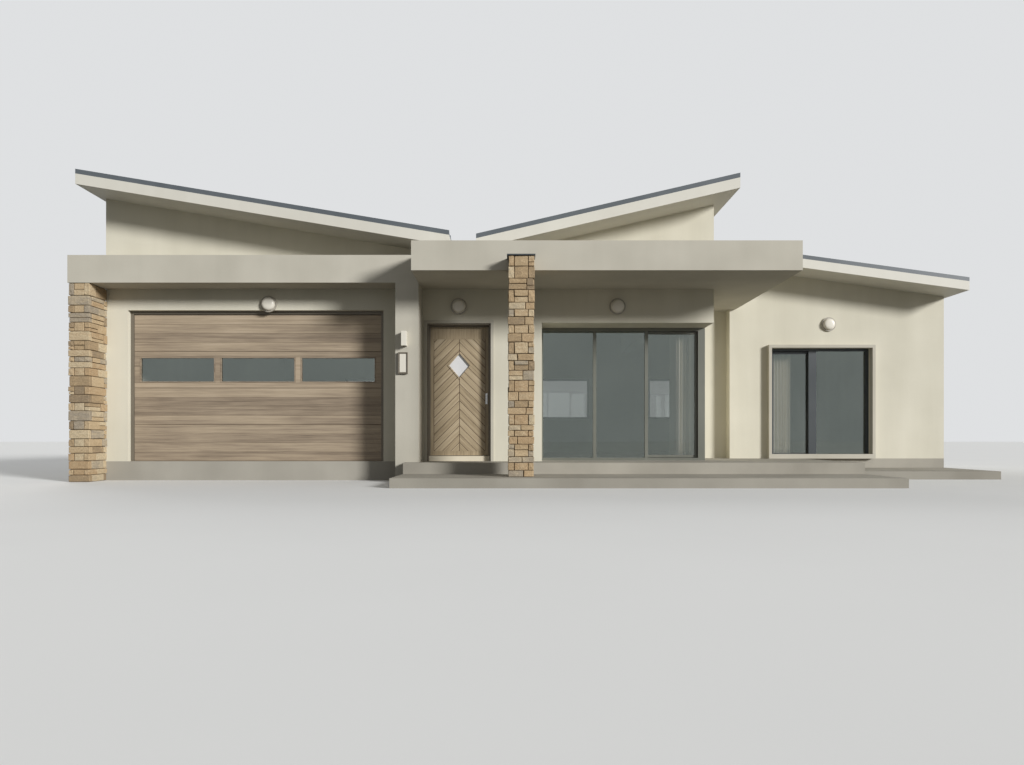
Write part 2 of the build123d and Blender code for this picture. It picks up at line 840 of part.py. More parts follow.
# Living room windows: two fixed lights, and a sash that slides on a rail behind them
pane_left = window_left + window_frame_face
pane_right = centre_right - window_corner_post
pane_bottom = floor_level + window_frame_face
pane_top = window_head - window_frame_head
light_pitch = (pane_right - pane_left) / living_light_count
first_mullion = pane_left + light_pitch
second_mullion = pane_left + 2 * light_pitch
half_mullion = window_mullion / 2
sash_front = window_setback + window_track + running_gap
sash_back = sash_front + sash_thickness
sash_middle = (sash_front + sash_back) / 2
with BuildPart() as living_frame:
    with BuildSketch(section_plane(window_back)):
        panel(window_left, centre_right, floor_level, window_head)
        panel(pane_left, pane_right, pane_bottom, pane_top, mode=Mode.SUBTRACT)
    extrude(amount=window_frame_depth)
    with BuildSketch(section_plane(window_setback + window_track)):
        for centre in (first_mullion, second_mullion):
            panel(centre - half_mullion, centre + half_mullion, pane_bottom, pane_top)
    extrude(amount=window_track)
    with BuildSketch(section_plane(sash_middle + track_rail_width / 2)):
        panel(pane_left, pane_right, pane_bottom, pane_bottom + track_rail_height)
    extrude(amount=track_rail_width)
living_frame.part.label = "living_frame"
export_step(living_frame.part, "parts/living_frame.step")

fixed_glass_back = window_setback + (window_track + pane_thickness) / 2
with BuildPart() as living_fixed_glass:
    with BuildSketch(section_plane(fixed_glass_back)):
        panel(pane_left, first_mullion - half_mullion, pane_bottom, pane_top)
        panel(first_mullion + half_mullion, second_mullion - half_mullion, pane_bottom, pane_top)
    extrude(amount=pane_thickness)
living_fixed_glass.part.label = "living_fixed_glass"
export_step(living_fixed_glass.part, "parts/living_fixed_glass.step")


def sash_frame(left, right, bottom, top, back, stile):
    """Sliding sash of stiles and rails round one pane."""
    with BuildSketch(section_plane(back)) as outline:
        panel(left, right, bottom, top)
        panel(left + stile, right - stile, bottom + sash_rail, top - sash_rail, mode=Mode.SUBTRACT)
    extrude(outline.sketch, amount=sash_thickness)


def sash_pane(left, right, bottom, top, back, stile):
    """Pane that fills a sliding sash."""
    with BuildSketch(section_plane(back - (sash_thickness - pane_thickness) / 2)) as outline:
        panel(left + stile, right - stile, bottom + sash_rail, top - sash_rail)
    extrude(outline.sketch, amount=pane_thickness)


living_sash = (second_mullion - half_mullion, pane_right - running_gap,
               pane_bottom + track_rail_height + seat_gap, pane_top - running_gap,
               sash_back, sash_stile)
with BuildPart() as living_sliding_sash:
    sash_frame(*living_sash)
living_sliding_sash.part.label = "living_sliding_sash"
export_step(living_sliding_sash.part, "parts/living_sliding_sash.step")

with BuildPart() as living_sliding_glass:
    sash_pane(*living_sash)
living_sliding_glass.part.label = "living_sliding_glass"
export_step(living_sliding_glass.part, "parts/living_sliding_glass.step")

# Patio door: the left sash slides to the right behind a fixed light
patio_front = wing_setback + patio_setback
patio_back = patio_front + window_frame_depth
patio_pane_left = patio_left + patio_frame_face
patio_pane_right = patio_right - patio_frame_face
patio_pane_bottom = floor_level + patio_frame_face
patio_pane_top = patio_door_head - patio_frame_face
patio_mullion_left = patio_pane_left + patio_sash_opening
patio_mullion_right = patio_mullion_left + patio_mullion
patio_sash_front = patio_front + window_track + running_gap
patio_sash_back = patio_sash_front + sash_thickness
with BuildPart() as patio_frame:
    with BuildSketch(section_plane(patio_back)):
        panel(patio_left, patio_right, floor_level, patio_door_head)
        panel(patio_pane_left, patio_pane_right, patio_pane_bottom, patio_pane_top,
              mode=Mode.SUBTRACT)
    extrude(amount=window_frame_depth)
    with BuildSketch(section_plane(patio_front + window_track)):
        panel(patio_mullion_left, patio_mullion_right, patio_pane_bottom, patio_pane_top)
    extrude(amount=window_track)
    with BuildSketch(section_plane((patio_sash_front + patio_sash_back + track_rail_width) / 2)):
        panel(patio_pane_left, patio_pane_right, patio_pane_bottom,
              patio_pane_bottom + track_rail_height)
    extrude(amount=track_rail_width)
patio_frame.part.label = "patio_frame"
export_step(patio_frame.part, "parts/patio_frame.step")

with BuildPart() as patio_fixed_glass:
    with BuildSketch(section_plane(patio_front + (window_track + pane_thickness) / 2)):
        panel(patio_mullion_right, patio_pane_right, patio_pane_bottom, patio_pane_top)
    extrude(amount=pane_thickness)
patio_fixed_glass.part.label = "patio_fixed_glass"
export_step(patio_fixed_glass.part, "parts/patio_fixed_glass.step")

patio_sash = (patio_pane_left + running_gap, patio_mullion_right,
              patio_pane_bottom + track_rail_height + seat_gap, patio_pane_top - running_gap,
              patio_sash_back, patio_sash_stile)
with BuildPart() as patio_sliding_sash:
    sash_frame(*patio_sash)
patio_sliding_sash.part.label = "patio_sliding_sash"
export_step(patio_sliding_sash.part, "parts/patio_sliding_sash.step")

with BuildPart() as patio_sliding_glass:
    sash_pane(*patio_sash)
patio_sliding_glass.part.label = "patio_sliding_glass"
export_step(patio_sliding_glass.part, "parts/patio_sliding_glass.step")

# Raised surround and sill of the patio door, and the thin trim round the front door
with BuildPart() as door_surrounds:
    with BuildSketch(section_plane(wing_setback)):
        panel(patio_left - surround_face, patio_right + surround_face,
              floor_level, patio_door_head + surround_face)
        panel(patio_left, patio_right, floor_level + patio_sill_height, patio_door_head,
              mode=Mode.SUBTRACT)
    extrude(amount=surround_proud)
    with BuildSketch(section_plane(0)):
        panel(front_door_left - door_trim_face, front_door_right + door_trim_face,
              floor_level, front_door_head + door_trim_face)
        panel(front_door_left, front_door_right, floor_level, front_door_head, mode=Mode.SUBTRACT)
    extrude(amount=door_trim_proud)
door_surrounds.part.label = "door_surrounds"
export_step(door_surrounds.part, "parts/door_surrounds.step")

# Rear windows
rear_frame_back = house_depth - rear_window_setback
with BuildPart() as rear_window_frames:
    with BuildSketch(section_plane(rear_frame_back)):
        for centre in main_rear_windows + wing_rear_windows:
            half = rear_window_width / 2
            inner = half - rear_frame_face
            panel(centre - half, centre + half, rear_window_sill, rear_window_head)
            panel(centre - inner, centre + inner, rear_window_sill + rear_frame_face,
                  rear_window_head - rear_frame_face, mode=Mode.SUBTRACT)
    extrude(amount=rear_frame_depth)
rear_window_frames.part.label = "rear_window_frames"
export_step(rear_window_frames.part, "parts/rear_window_frames.step")

with BuildPart() as rear_window_glass:
    with BuildSketch(section_plane(rear_frame_back - (rear_frame_depth - pane_thickness) / 2)):
        for centre in main_rear_windows + wing_rear_windows:
            inner = rear_window_width / 2 - rear_frame_face
            panel(centre - inner, centre + inner, rear_window_sill + rear_frame_face,
                  rear_window_head - rear_frame_face)
    extrude(amount=pane_thickness)
rear_window_glass.part.label = "rear_window_glass"
export_step(rear_window_glass.part, "parts/rear_window_glass.step")

# Round wall lights: one over each opening of the front
wall_lights = [
    ((garage_door_left + garage_door_right) / 2 + garage_light_offset, garage_light_level, 0),
    (front_door_centre, light_level, 0),
    (living_centre + window_light_offset, light_level, 0),
    ((patio_left + patio_right) / 2 + patio_light_offset, light_level, wing_setback),
]
with BuildPart() as wall_light_bases:
    for x, level, face in wall_lights:
        with BuildSketch(section_plane(face)):
            with Locations((x, level)):
                Circle(light_radius)
        extrude(amount=light_base)
wall_light_bases.part.label = "wall_light_bases"
export_step(wall_light_bases.part, "parts/wall_light_bases.step")

with BuildPart() as wall_light_domes:
    for x, level, face in wall_lights:
        with BuildSketch(section_plane(face - light_base)):
            with Locations((x, level)):
                Circle(light_radius - light_dome_inset)
        extrude(amount=light_dome)
        rims = wall_light_domes.edges(Select.LAST).filter_by(GeomType.CIRCLE)
        fillet(rims.sort_by(Axis.Y)[0], light_dome_fillet)
wall_light_domes.part.label = "wall_light_domes"
export_step(wall_light_domes.part, "parts/wall_light_domes.step")

# Box lantern with a hollow at each end, and a shallow framed box, on the rendered pier
lantern_left = portal_right - fitting_from_edge - lantern_width / 2
lantern_bottom = lantern_level - lantern_height / 2
with BuildPart() as box_lantern:
    with BuildSketch(Plane.XY.offset(lantern_bottom)):
        panel(lantern_left, lantern_left + lantern_width,
              -portal_depth - lantern_depth, -portal_depth)
    extrude(amount=lantern_height)
    for level, reach in ((lantern_bottom, lantern_hollow),
                         (lantern_bottom + lantern_height, -lantern_hollow)):
        with BuildSketch(Plane.XY.offset(level)):
            panel(lantern_left + lantern_wall, lantern_left + lantern_width - lantern_wall,
                  -portal_depth - lantern_depth + lantern_wall, -portal_depth - lantern_wall)
        extrude(amount=reach, mode=Mode.SUBTRACT)
box_lantern.part.label = "box_lantern"
export_step(box_lantern.part, "parts/box_lantern.step")

box_left = portal_right - box_from_edge - box_width / 2
box_bottom = box_level - box_height / 2
with BuildPart() as framed_box:
    with BuildSketch(section_plane(-portal_depth)):
        panel(box_left, box_left + box_width, box_bottom, box_bottom + box_height)
    extrude(amount=box_depth)
    with BuildSketch(section_plane(-portal_depth - box_depth)):
        panel(box_left + box_rim, box_left + box_width - box_rim,
              box_bottom + box_rim, box_bottom + box_height - box_rim)
    extrude(amount=-box_recess, mode=Mode.SUBTRACT)
framed_box.part.label = "framed_box"
export_step(framed_box.part, "parts/framed_box.step")
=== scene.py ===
# %% [markdown]
# # A single-storey house under three single-slope roofs
# The solids of the house are already there: walls, floors, roofs, doors and windows, each as a
# named piece at its real size. This lesson dresses them. It adds what is too fine for the
# solids, such as stone blocks, door boards, beads and screw heads, and it gives every piece a
# finish made of nodes. All sizes are in metres. X runs along the front, Y goes back, Z is up.

# %% Load the frame
import json
import math
import random
from contextlib import contextmanager

import bpy
from mathutils import Matrix, Vector


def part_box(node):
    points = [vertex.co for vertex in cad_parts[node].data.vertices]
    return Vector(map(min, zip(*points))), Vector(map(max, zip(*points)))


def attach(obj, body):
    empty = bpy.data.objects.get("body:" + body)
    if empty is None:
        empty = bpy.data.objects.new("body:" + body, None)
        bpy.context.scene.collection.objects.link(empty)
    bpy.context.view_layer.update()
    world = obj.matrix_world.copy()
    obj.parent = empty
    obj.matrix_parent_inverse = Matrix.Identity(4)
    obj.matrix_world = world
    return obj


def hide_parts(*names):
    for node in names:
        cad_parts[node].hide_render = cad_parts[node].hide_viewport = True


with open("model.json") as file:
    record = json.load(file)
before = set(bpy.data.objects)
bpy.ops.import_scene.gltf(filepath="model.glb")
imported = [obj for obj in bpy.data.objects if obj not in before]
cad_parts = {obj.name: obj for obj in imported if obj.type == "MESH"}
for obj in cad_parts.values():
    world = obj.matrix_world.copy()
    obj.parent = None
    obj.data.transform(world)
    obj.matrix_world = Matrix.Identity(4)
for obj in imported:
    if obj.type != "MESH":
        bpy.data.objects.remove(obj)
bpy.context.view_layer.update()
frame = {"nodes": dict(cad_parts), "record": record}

nodes = frame["nodes"]

# %% [markdown]
# ## The camera
# The photograph looks straight at the front, with upright edges upright. A camera that is
# tilted up would make them lean. So the camera is level, and the picture is shifted up instead,
# as an architectural photographer does. The shift is the distance from the horizon to the
# middle. The horizon comes from the one vanishing point. The focal length and the distance are
# estimates.

# %% Camera
IMAGE_WIDTH = 1024
IMAGE_HEIGHT = 765
HORIZON = 440
FOCAL_PIXELS = 774
EYE = Vector((0, -13.46, 0.70))

camera_data = bpy.data.cameras.new("camera")
camera_data.sensor_width = 36
camera_data.lens = FOCAL_PIXELS / IMAGE_WIDTH * camera_data.sensor_width
camera_data.shift_y = (HORIZON - IMAGE_HEIGHT / 2) / IMAGE_WIDTH
camera_data.clip_end = 500
camera = bpy.data.objects.new("camera", camera_data)
camera.location = EYE
camera.rotation_euler = (math.radians(90), 0, 0)
bpy.context.scene.collection.objects.link(camera)
bpy.context.scene.camera = camera
bpy.context.scene.view_settings.view_transform = "Standard"
print("lens:", round(camera_data.lens, 1), "mm, shift:", round(camera_data.shift_y, 3))

# %% [markdown]
# ## Sockets as numbers
# A material is a chain of small nodes. Written as node and link calls, it hides what it works
# out. This class wraps one socket, so that `clouds * 0.6 + grain` adds the Math nodes by
# itself. Any other node comes from its one method, `node`.

# %% A wrapped socket
class Wire:
    """One output of a material's nodes, which can be worked with like a number."""

    def __init__(self, tree, socket=None):
        self.tree = tree
        self.socket = socket

    def node(self, kind, settings=None, sockets=None, output=0):
        """Adds a node, sets it up, fills or links its sockets and returns one output."""
        made = self.tree.nodes.new(kind)
        for name, value in (settings or {}).items():
            if name == "stops":
                for place, colour in value[2:]:
                    made.color_ramp.elements.new(place)
                for stop, (place, colour) in zip(made.color_ramp.elements, value):
                    stop.position = place
                    stop.color = colour
            else:
                setattr(made, name, value)
        for name, value in (sockets or {}).items():
            if isinstance(value, Wire):
                self.tree.links.new(value.socket, made.inputs[name])
            else:
                made.inputs[name].default_value = value
        return Wire(self.tree, made.outputs[output])

    def maths(self, operation, *values):
        """A Math node with this operation on the values that are given."""
        return self.node("ShaderNodeMath", {"operation": operation}, dict(enumerate(values)))

    def __add__(self, other):
        return self.maths("ADD", self, other)

    def __sub__(self, other):
        return self.maths("SUBTRACT", self, other)

    def __rsub__(self, other):
        return self.maths("SUBTRACT", other, self)

    def __mul__(self, other):
        return self.maths("MULTIPLY", self, other)

    def __lt__(self, other):
        return self.maths("LESS_THAN", self, other)

    def __gt__(self, other):
        return self.maths("GREATER_THAN", self, other)

    def __abs__(self):
        return self.maths("ABSOLUTE", self)

    __radd__ = __add__
    __rmul__ = __mul__

    def blend(self, low, high):
        """Colour that goes from low to high as this value goes from 0 to 1."""
        return self.node("ShaderNodeMix", {"data_type": "RGBA"}, {0: self, 6: low, 7: high},
                         output=2)

    def ramp(self, *stops):
        """Colour from a row of stops, each a place from 0 to 1 and a colour."""
        return self.node("ShaderNodeValToRGB", {"stops": stops}, {0: self})


def paint(red, green, blue):
    """A screen colour of 0 to 255 as the linear values that the nodes use."""
    def linear(value):
        share = value / 255
        return share / 12.92 if share < 0.04045 else ((share + 0.055) / 1.055) ** 2.4
    return linear(red), linear(green), linear(blue), 1.0


print("screen grey 128 in linear light:", round(paint(128, 128, 128)[0], 3))

# %% [markdown]
# ## Noise and surfaces
# No real surface is one even colour. The change could come from a picture, but a picture repeats
# and shows its seams on a long wall. Noise does neither, so nearly every finish here is the same
# recipe: soft noise at two or three sizes mixes two close colours and lifts the surface a
# little. Noise that is squeezed along one axis turns into streaks, and that is how rain marks,
# brushed steel and wood fibres are made.

# %% Noise, surface and material helpers
def noise(place, scale, stretch=(1, 1, 1), detail=3):
    """Soft random values about 0.5, with a grain of one over scale metres."""
    spread = place.node("ShaderNodeMapping", {}, {"Vector": place, "Scale": stretch})
    return place.node("ShaderNodeTexNoise", {},
                      {"Vector": spread, "Scale": scale, "Detail": detail})


def stronger(value, gain):
    """The same values with more contrast about 0.5."""
    return (value - 0.5) * gain + 0.5


def surface(start, colour, roughness, relief=None, depth=0.0, fixed=None):
    """The surface shader, with a bump of some depth where a relief is given."""
    sockets = {"Base Color": colour, "Roughness": roughness}
    sockets.update(fixed or {})
    if relief is not None:
        sockets["Normal"] = start.node("ShaderNodeBump", {}, {"Distance": depth, "Height": relief})
    return start.node("ShaderNodeBsdfPrincipled", {}, sockets)


def material(name, draw):
    """A material whose surface is drawn by a function of its start and its place."""
    made = bpy.data.materials.new(name)
    made.use_nodes = True
    tree = made.node_tree
    tree.nodes.clear()
    start = Wire(tree)
    place = start.node("ShaderNodeTexCoord", output="Object")
    drawn = draw(start, place)
    output = tree.nodes.new("ShaderNodeOutputMaterial")
    tree.links.new(drawn.socket, output.inputs["Surface"])
    return made


# %% [markdown]
# ## Render and concrete
# The walls carry a sand-coloured render, smoothed with a trowel. Close to, it has a sandy grain.
# From a distance only faint clouds and rain streaks show. Each surface could have its own
# material, drawn by hand. But slabs, steps and mortar are only greyer or coarser mixes of the
# same kind, so one function makes them all from two colours, the depth of the grain and the
# share of streaks.

# %% Mineral finishes
def mineral(light, dark, grain_depth=0.0012, streak=0.4):
    """A finish for render, concrete and pale stone."""
    def draw(start, place):
        clouds = noise(place, 0.8)
        streaks = noise(place, 3.0, stretch=(1, 1, 0.1))
        speckle = noise(place, 70, detail=2)
        trowel = noise(place, 9, stretch=(1, 1, 1.6), detail=4)
        shade = stronger(clouds * (1 - streak) + streaks * streak, 2.5)
        mottled = shade * 0.8 + speckle * 0.2
        colour = mottled.blend(dark, light)
        return surface(start, colour, 0.88, trowel * 0.6 + speckle * 0.4, grain_depth,
                       {"Specular IOR Level": 0.3})
    return draw


finishes = {
    "render": material("render", mineral(paint(220, 215, 198), paint(200, 195, 177))),
    "slab": material("slab", mineral(paint(198, 193, 179), paint(176, 171, 157), streak=0.25)),
    "paving": material("paving", mineral(paint(170, 165, 153), paint(140, 135, 124), streak=0.1)),
    "plinth": material("plinth", mineral(paint(176, 171, 159), paint(152, 147, 136), streak=0.2)),
    "threshold": material("threshold", mineral(paint(228, 219, 198), paint(208, 198, 176),
                                               streak=0.1)),
    "mortar": material("mortar", mineral(paint(118, 101, 79), paint(90, 76, 58),
                                         grain_depth=0.004)),
}
print("mineral finishes:", len(finishes))

# %% [markdown]
# ## Painted metal and paint
# The boxed edges of the roofs are painted off-white, the roof sheets dark grey, and the window
# frames anthracite or bronze. One plain colour would almost do, but it looks like plastic. Paint
# is even, so the noise stays weak: a slightly uneven sheen says more than a change of colour.
# Each paint is a row of its lighter tone, its darker tone and its roughness.

# %% Painted finishes
ORANGE_PEEL = 0.0004


def painted(light, dark, roughness):
    """A finish for paint on board or metal."""
    def draw(start, place):
        clouds = noise(place, 1.3)
        streaks = noise(place, 5.0, stretch=(1, 1, 0.2))
        fine = noise(place, 120, detail=1)
        shade = stronger(clouds * 0.6 + streaks * 0.4, 1.5)
        sheen = roughness + (clouds - 0.5) * 0.2
        return surface(start, shade.blend(dark, light), sheen, fine, ORANGE_PEEL)
    return draw


PAINTS = {
    "fascia": (paint(216, 213, 202), paint(203, 199, 187), 0.55),
    "roof_sheet": (paint(96, 102, 106), paint(76, 82, 87), 0.42),
    "dark_frame": (paint(58, 63, 65), paint(44, 49, 52), 0.4),
    "bronze_frame": (paint(116, 117, 107), paint(98, 99, 90), 0.4),
    "light_base": (paint(176, 170, 158), paint(156, 150, 138), 0.45),
    "light_dome": (paint(226, 221, 208), paint(214, 208, 194), 0.3),
    "panel_rim": (paint(116, 108, 94), paint(96, 89, 77), 0.5),
}
for name, look in PAINTS.items():
    finishes[name] = material(name, painted(*look))
print("painted finishes:", len(PAINTS))

# %% [markdown]
# ## Split stone
# The pier and the column are faced with split sandstone, and no two stones have the same colour.
# Each hue could be a material of its own, but then every stone would need to be given one.
# Instead each stone carries a number, `tone`, on its points, and a ramp turns it into one of the
# hues of the quarry. Noise along the bedding adds the bands inside each stone.

# %% Stone finish
def stone_finish(start, place):
    tone = start.node("ShaderNodeAttribute", {"attribute_name": "tone"}, output="Fac")
    bands = noise(place, 9, stretch=(1, 1, 3), detail=5)
    grain = noise(place, 55, detail=4)
    hue = tone + (bands - 0.5) * 0.35
    colour = hue.ramp((0.0, paint(148, 132, 110)), (0.2, paint(178, 156, 124)),
                      (0.4, paint(196, 176, 144)), (0.6, paint(180, 155, 122)),
                      (0.8, paint(204, 188, 158)), (1.0, paint(162, 152, 136)))
    worn = stronger(grain, 1.8).blend((0.55, 0.5, 0.45, 1), (1.1, 1.08, 1.04, 1))
    shaded = start.node("ShaderNodeMix", {"data_type": "RGBA", "blend_type": "MULTIPLY"},
                        {0: 0.75, 6: colour, 7: worn}, output=2)
    return surface(start, shaded, 0.9, bands * 0.5 + grain * 0.5, 0.012,
                   {"Specular IOR Level": 0.25})


finishes["stone"] = material("stone", stone_finish)
print("stone finish made")

# %% [markdown]
# ## Wood
# Both doors are clad in brown boards. Wood fibres are noise drawn out along the board. Without
# more, the figure would run on from one board to the next, which real boards never do. So on the
# garage door each board's `tone` moves it to another part of the noise. On the front door the
# fibres turn with the chevron: measured from the door's middle line, they run down and outwards
# at 45 degrees.

# %% Garage door wood
def fibres(place, stretch):
    """Figure and pores of wood whose fibres run along the least stretched axis."""
    figure = noise(place, 1.0, stretch=stretch, detail=4)
    pores = noise(place, 4.0, stretch=stretch, detail=2)
    return stronger(figure, 1.7), stronger(pores, 1.5)


def garage_wood_finish(start, place):
    """Flat boards, each cut from another part of the noise."""
    tone = start.node("ShaderNodeAttribute", {"attribute_name": "tone"}, output="Fac")
    shift = start.node("ShaderNodeCombineXYZ", {}, {"X": tone * 31, "Z": tone * 17})
    moved = start.node("ShaderNodeVectorMath", {"operation": "ADD"}, {0: place, 1: shift})
    figure, pores = fibres(moved, (0.8, 20, 30))
    patches = stronger(noise(moved, 1.4, stretch=(0.7, 1, 2.5)), 1.8)
    shade = figure * 0.35 + pores * 0.15 + tone * 0.25 + patches * 0.25
    colour = shade.ramp((0.2, paint(112, 98, 82)), (0.45, paint(150, 134, 114)),
                        (0.6, paint(168, 151, 128)), (0.85, paint(188, 171, 148)))
    return surface(start, colour, 0.62, figure * 0.5 + pores * 0.5, 0.0015)


finishes["garage_wood"] = material("garage_wood", garage_wood_finish)
print("garage wood made")

# %% [markdown]
# The chevron panel of the front door has its own place on the leaf. The grooves between its
# boards are real grooves in the solid, only 7 mm wide. Shadow alone hardly shows in so narrow a
# groove, so the finish paints shade into them: a share of each board's pitch, a line down the
# middle and a line along both edges. Nothing is painted outside the panel, which ends between
# four named places.

# %% Front door wood
DOOR_MIDDLE = -0.9235
PANEL_HALF_WIDTH = 0.4465
PANEL_BOTTOM = 0.506
PANEL_TOP = 2.471
BOARD_PITCH = 0.147
# Where the painted shade of the grooves lies: a share of each pitch, a band each side of the
# middle line and a band outside the panel's edge.
GROOVE_SHARE = 0.085
MIDDLE_GROOVE = 0.005
EDGE_GROOVE = 0.008
FIBRE_SQUEEZE = 24


def door_wood_finish(start, place):
    """Chevron boards inside the panel and upright boards round it, with painted shade in the
    grooves.
    """
    x = start.node("ShaderNodeSeparateXYZ", {}, {0: place}, output="X")
    z = start.node("ShaderNodeSeparateXYZ", {}, {0: place}, output="Z")
    side = x - DOOR_MIDDLE
    out = abs(side)
    in_panel = (out < PANEL_HALF_WIDTH) * (z > PANEL_BOTTOM) * (z < PANEL_TOP)
    rank = (z + out - PANEL_BOTTOM) * (1 / BOARD_PITCH)
    board = rank.maths("FLOOR", rank) + (side > 0) * 40
    board_tone = start.node("ShaderNodeTexWhiteNoise", {"noise_dimensions": "1D"}, {"W": board})
    slope = math.sqrt(0.5)
    chevron = start.node("ShaderNodeCombineXYZ", {}, {
        "X": (z + out) * slope * FIBRE_SQUEEZE + board_tone * 9, "Y": board * 3.7,
        "Z": (z - out) * slope})
    upright = start.node("ShaderNodeCombineXYZ", {}, {"X": x * FIBRE_SQUEEZE, "Y": 0.0, "Z": z})
    along = start.node("ShaderNodeMix", {"data_type": "VECTOR"},
                       {0: in_panel, 4: upright, 5: chevron}, output=1)
    figure, pores = fibres(along, (1.4, 1, 1.6))
    shade = figure * 0.5 + pores * 0.15 + board_tone * in_panel * 0.2 + 0.1
    colour = shade.ramp((0.1, paint(122, 107, 82)), (0.45, paint(160, 143, 115)),
                        (0.65, paint(177, 160, 132)), (0.95, paint(194, 179, 154)))
    # Painted shade in the grooves: along each board's edge, down the middle line and round the
    # border the colour goes to a dark brown.
    edge = start.maths("FRACT", rank) < GROOVE_SHARE
    middle = out < MIDDLE_GROOVE
    border_groove_shade_mask = (out > PANEL_HALF_WIDTH) * (out < PANEL_HALF_WIDTH + EDGE_GROOVE)
    dark = in_panel * (edge + middle) + border_groove_shade_mask * (z > PANEL_BOTTOM) * (z < PANEL_TOP)
    colour_with_painted_groove_shade = dark.maths("MINIMUM", dark, 1.0).blend(colour, paint(84, 62, 40))
    return surface(start, colour_with_painted_groove_shade, 0.5, figure * 0.5 + pores * 0.5, 0.0012)


finishes["door_wood"] = material("door_wood", door_wood_finish)
print("front door wood made")

# %% [markdown]
# ## Steel, glass and cloth
# Brushed steel is a metal whose roughness is streaked. The panes could be clear glass, but that
# takes many bounces of light and leaves them almost unseen. Real ones carry a thin metal coat
# against the sun: they mirror part of the light and let the rest through, which is a metal
# surface with a low alpha. The rear windows have a denser coat, so that they don't shine through
# the house as bright spots. The front door's pane is opal, and the curtains are a coarse plain
# weave.

# %% Steel, glass and curtain finishes
def steel_finish(start, place):
    brushed = noise(place, 30, stretch=(6, 6, 0.4), detail=3)
    colour = brushed.blend(paint(150, 150, 148), paint(192, 191, 188))
    return surface(start, colour, 0.25 + brushed * 0.25, brushed, 0.0003, {"Metallic": 1.0})


def coated_glass(cover):
    """A finish for a pane whose coat hides a share of what lies behind it."""
    def draw(start, place):
        ripple = noise(place, 1.2, detail=1)
        tint = ripple.blend(paint(154, 163, 158), paint(168, 176, 170))
        return surface(start, tint, 0.02, ripple, 0.0006, {"Metallic": 1.0, "Alpha": cover})
    return draw


def opal_finish(start, place):
    clouds = noise(place, 9, detail=2)
    colour = clouds.blend(paint(206, 206, 206), paint(226, 226, 226))
    return surface(start, colour, 0.22, clouds, 0.0004)


def curtain_finish(start, place):
    across = noise(place, 260, stretch=(1, 1, 0.05), detail=1)
    upright = noise(place, 260, stretch=(0.05, 0.05, 1), detail=1)
    weave = across * 0.5 + upright * 0.5
    colour = stronger(weave, 1.5).blend(paint(224, 216, 198), paint(244, 238, 224))
    return surface(start, colour, 0.9, weave, 0.0008, {"Sheen Weight": 0.3})


finishes["steel"] = material("steel", steel_finish)
finishes["glass"] = material("glass", coated_glass(cover=0.3))
finishes["dark_glass"] = material("dark_glass", coated_glass(cover=0.5))
finishes["opal_glass"] = material("opal_glass", opal_finish)
finishes["curtain"] = material("curtain", curtain_finish)
print("finishes:", len(finishes))

# %% [markdown]
# ## Dress the solids
# Each solid names its slot in the record, and each slot has a finish with the same name, so a
# loop can dress the whole house. A few solids get a closer finish than their slot says: the
# slabs and surrounds are greyer than the walls, the door frames are brown, the living room's
# frame is bronze, the front door's pane is opal and the rear windows are denser.

# %% Finishes on the solids
CLOSER = {"portal_slab": "slab", "canopy": "slab", "rendered_pier": "slab",
          "door_surrounds": "slab", "column_cap": "dark_frame",
          "garage_door_frame": "panel_rim", "front_door_frame": "panel_rim",
          "living_frame": "bronze_frame", "living_sliding_sash": "bronze_frame",
          "front_door_glass": "opal_glass", "rear_window_glass": "dark_glass"}
slot_of = {row["node"]: row["material_slot"] for row in frame["record"]["subparts"]}
for name, solid in nodes.items():
    finish = finishes[CLOSER.get(name, slot_of[name])]
    for slot in solid.material_slots:
        slot.material = finish
    if not solid.material_slots:
        solid.data.materials.append(finish)
print("solids dressed:", len(nodes))

# %% [markdown]
# ## Tools for modelling
# New pieces could be lists of points, but nobody could read those. They start as a primitive and
# are shaped in edit mode, as by hand. An operator acts on all that is selected, so `pick` selects
# one piece and nothing else, and `shaping` picks in it all faces, or only those that pass a
# test. Leaving the block goes back to object mode.

# %% Selecting and shaping
def clear_selection():
    bpy.ops.object.select_all(action="DESELECT")


def pick(piece):
    """Selects one piece and nothing else, and makes it the active one."""
    clear_selection()
    piece.select_set(True)
    bpy.context.view_layer.objects.active = piece


@contextmanager
def shaping(piece, wanted=None):
    """Edit mode on one piece, with all faces selected or those that pass a test."""
    pick(piece)
    bpy.ops.object.mode_set(mode="EDIT")
    bpy.ops.mesh.select_mode(type="FACE")
    bpy.ops.mesh.select_all(action="DESELECT" if wanted else "SELECT")
    if wanted:
        bpy.ops.object.mode_set(mode="OBJECT")
        for face in piece.data.polygons:
            face.select = wanted(face)
        bpy.ops.object.mode_set(mode="EDIT")
    yield
    bpy.ops.object.mode_set(mode="OBJECT")


def settle(piece, name):
    """Puts a new piece's place into its mesh and gives it its name."""
    pick(piece)
    bpy.ops.object.transform_apply(location=True, rotation=True, scale=True)
    piece.name = name
    piece.data.name = name
    return piece


def block(name, low, high):
    """A box primitive between two corners."""
    clear_selection()
    low, high = Vector(low), Vector(high)
    bpy.ops.mesh.primitive_cube_add(size=1, location=(low + high) / 2, scale=high - low)
    return settle(bpy.context.object, name)


def softened(piece, width, segments=2):
    """The piece with its sharp edges bevelled by a modifier that is applied."""
    pick(piece)
    bevel = piece.modifiers.new("soft_edges", "BEVEL")
    bevel.width = width
    bevel.segments = segments
    bevel.limit_method = "ANGLE"
    bpy.ops.object.modifier_apply(modifier=bevel.name)
    return piece


# %% [markdown]
# What repeats is modelled once. An array would repeat it evenly, but stones and boards differ in
# size and colour. So `copy_into` gives each copy its own mesh, stretched to fill its box, and
# writes the copy's `tone` on its points. A copy whose long side runs along Y is turned first, so
# that its edges keep their shape. `joined` makes one piece of many.

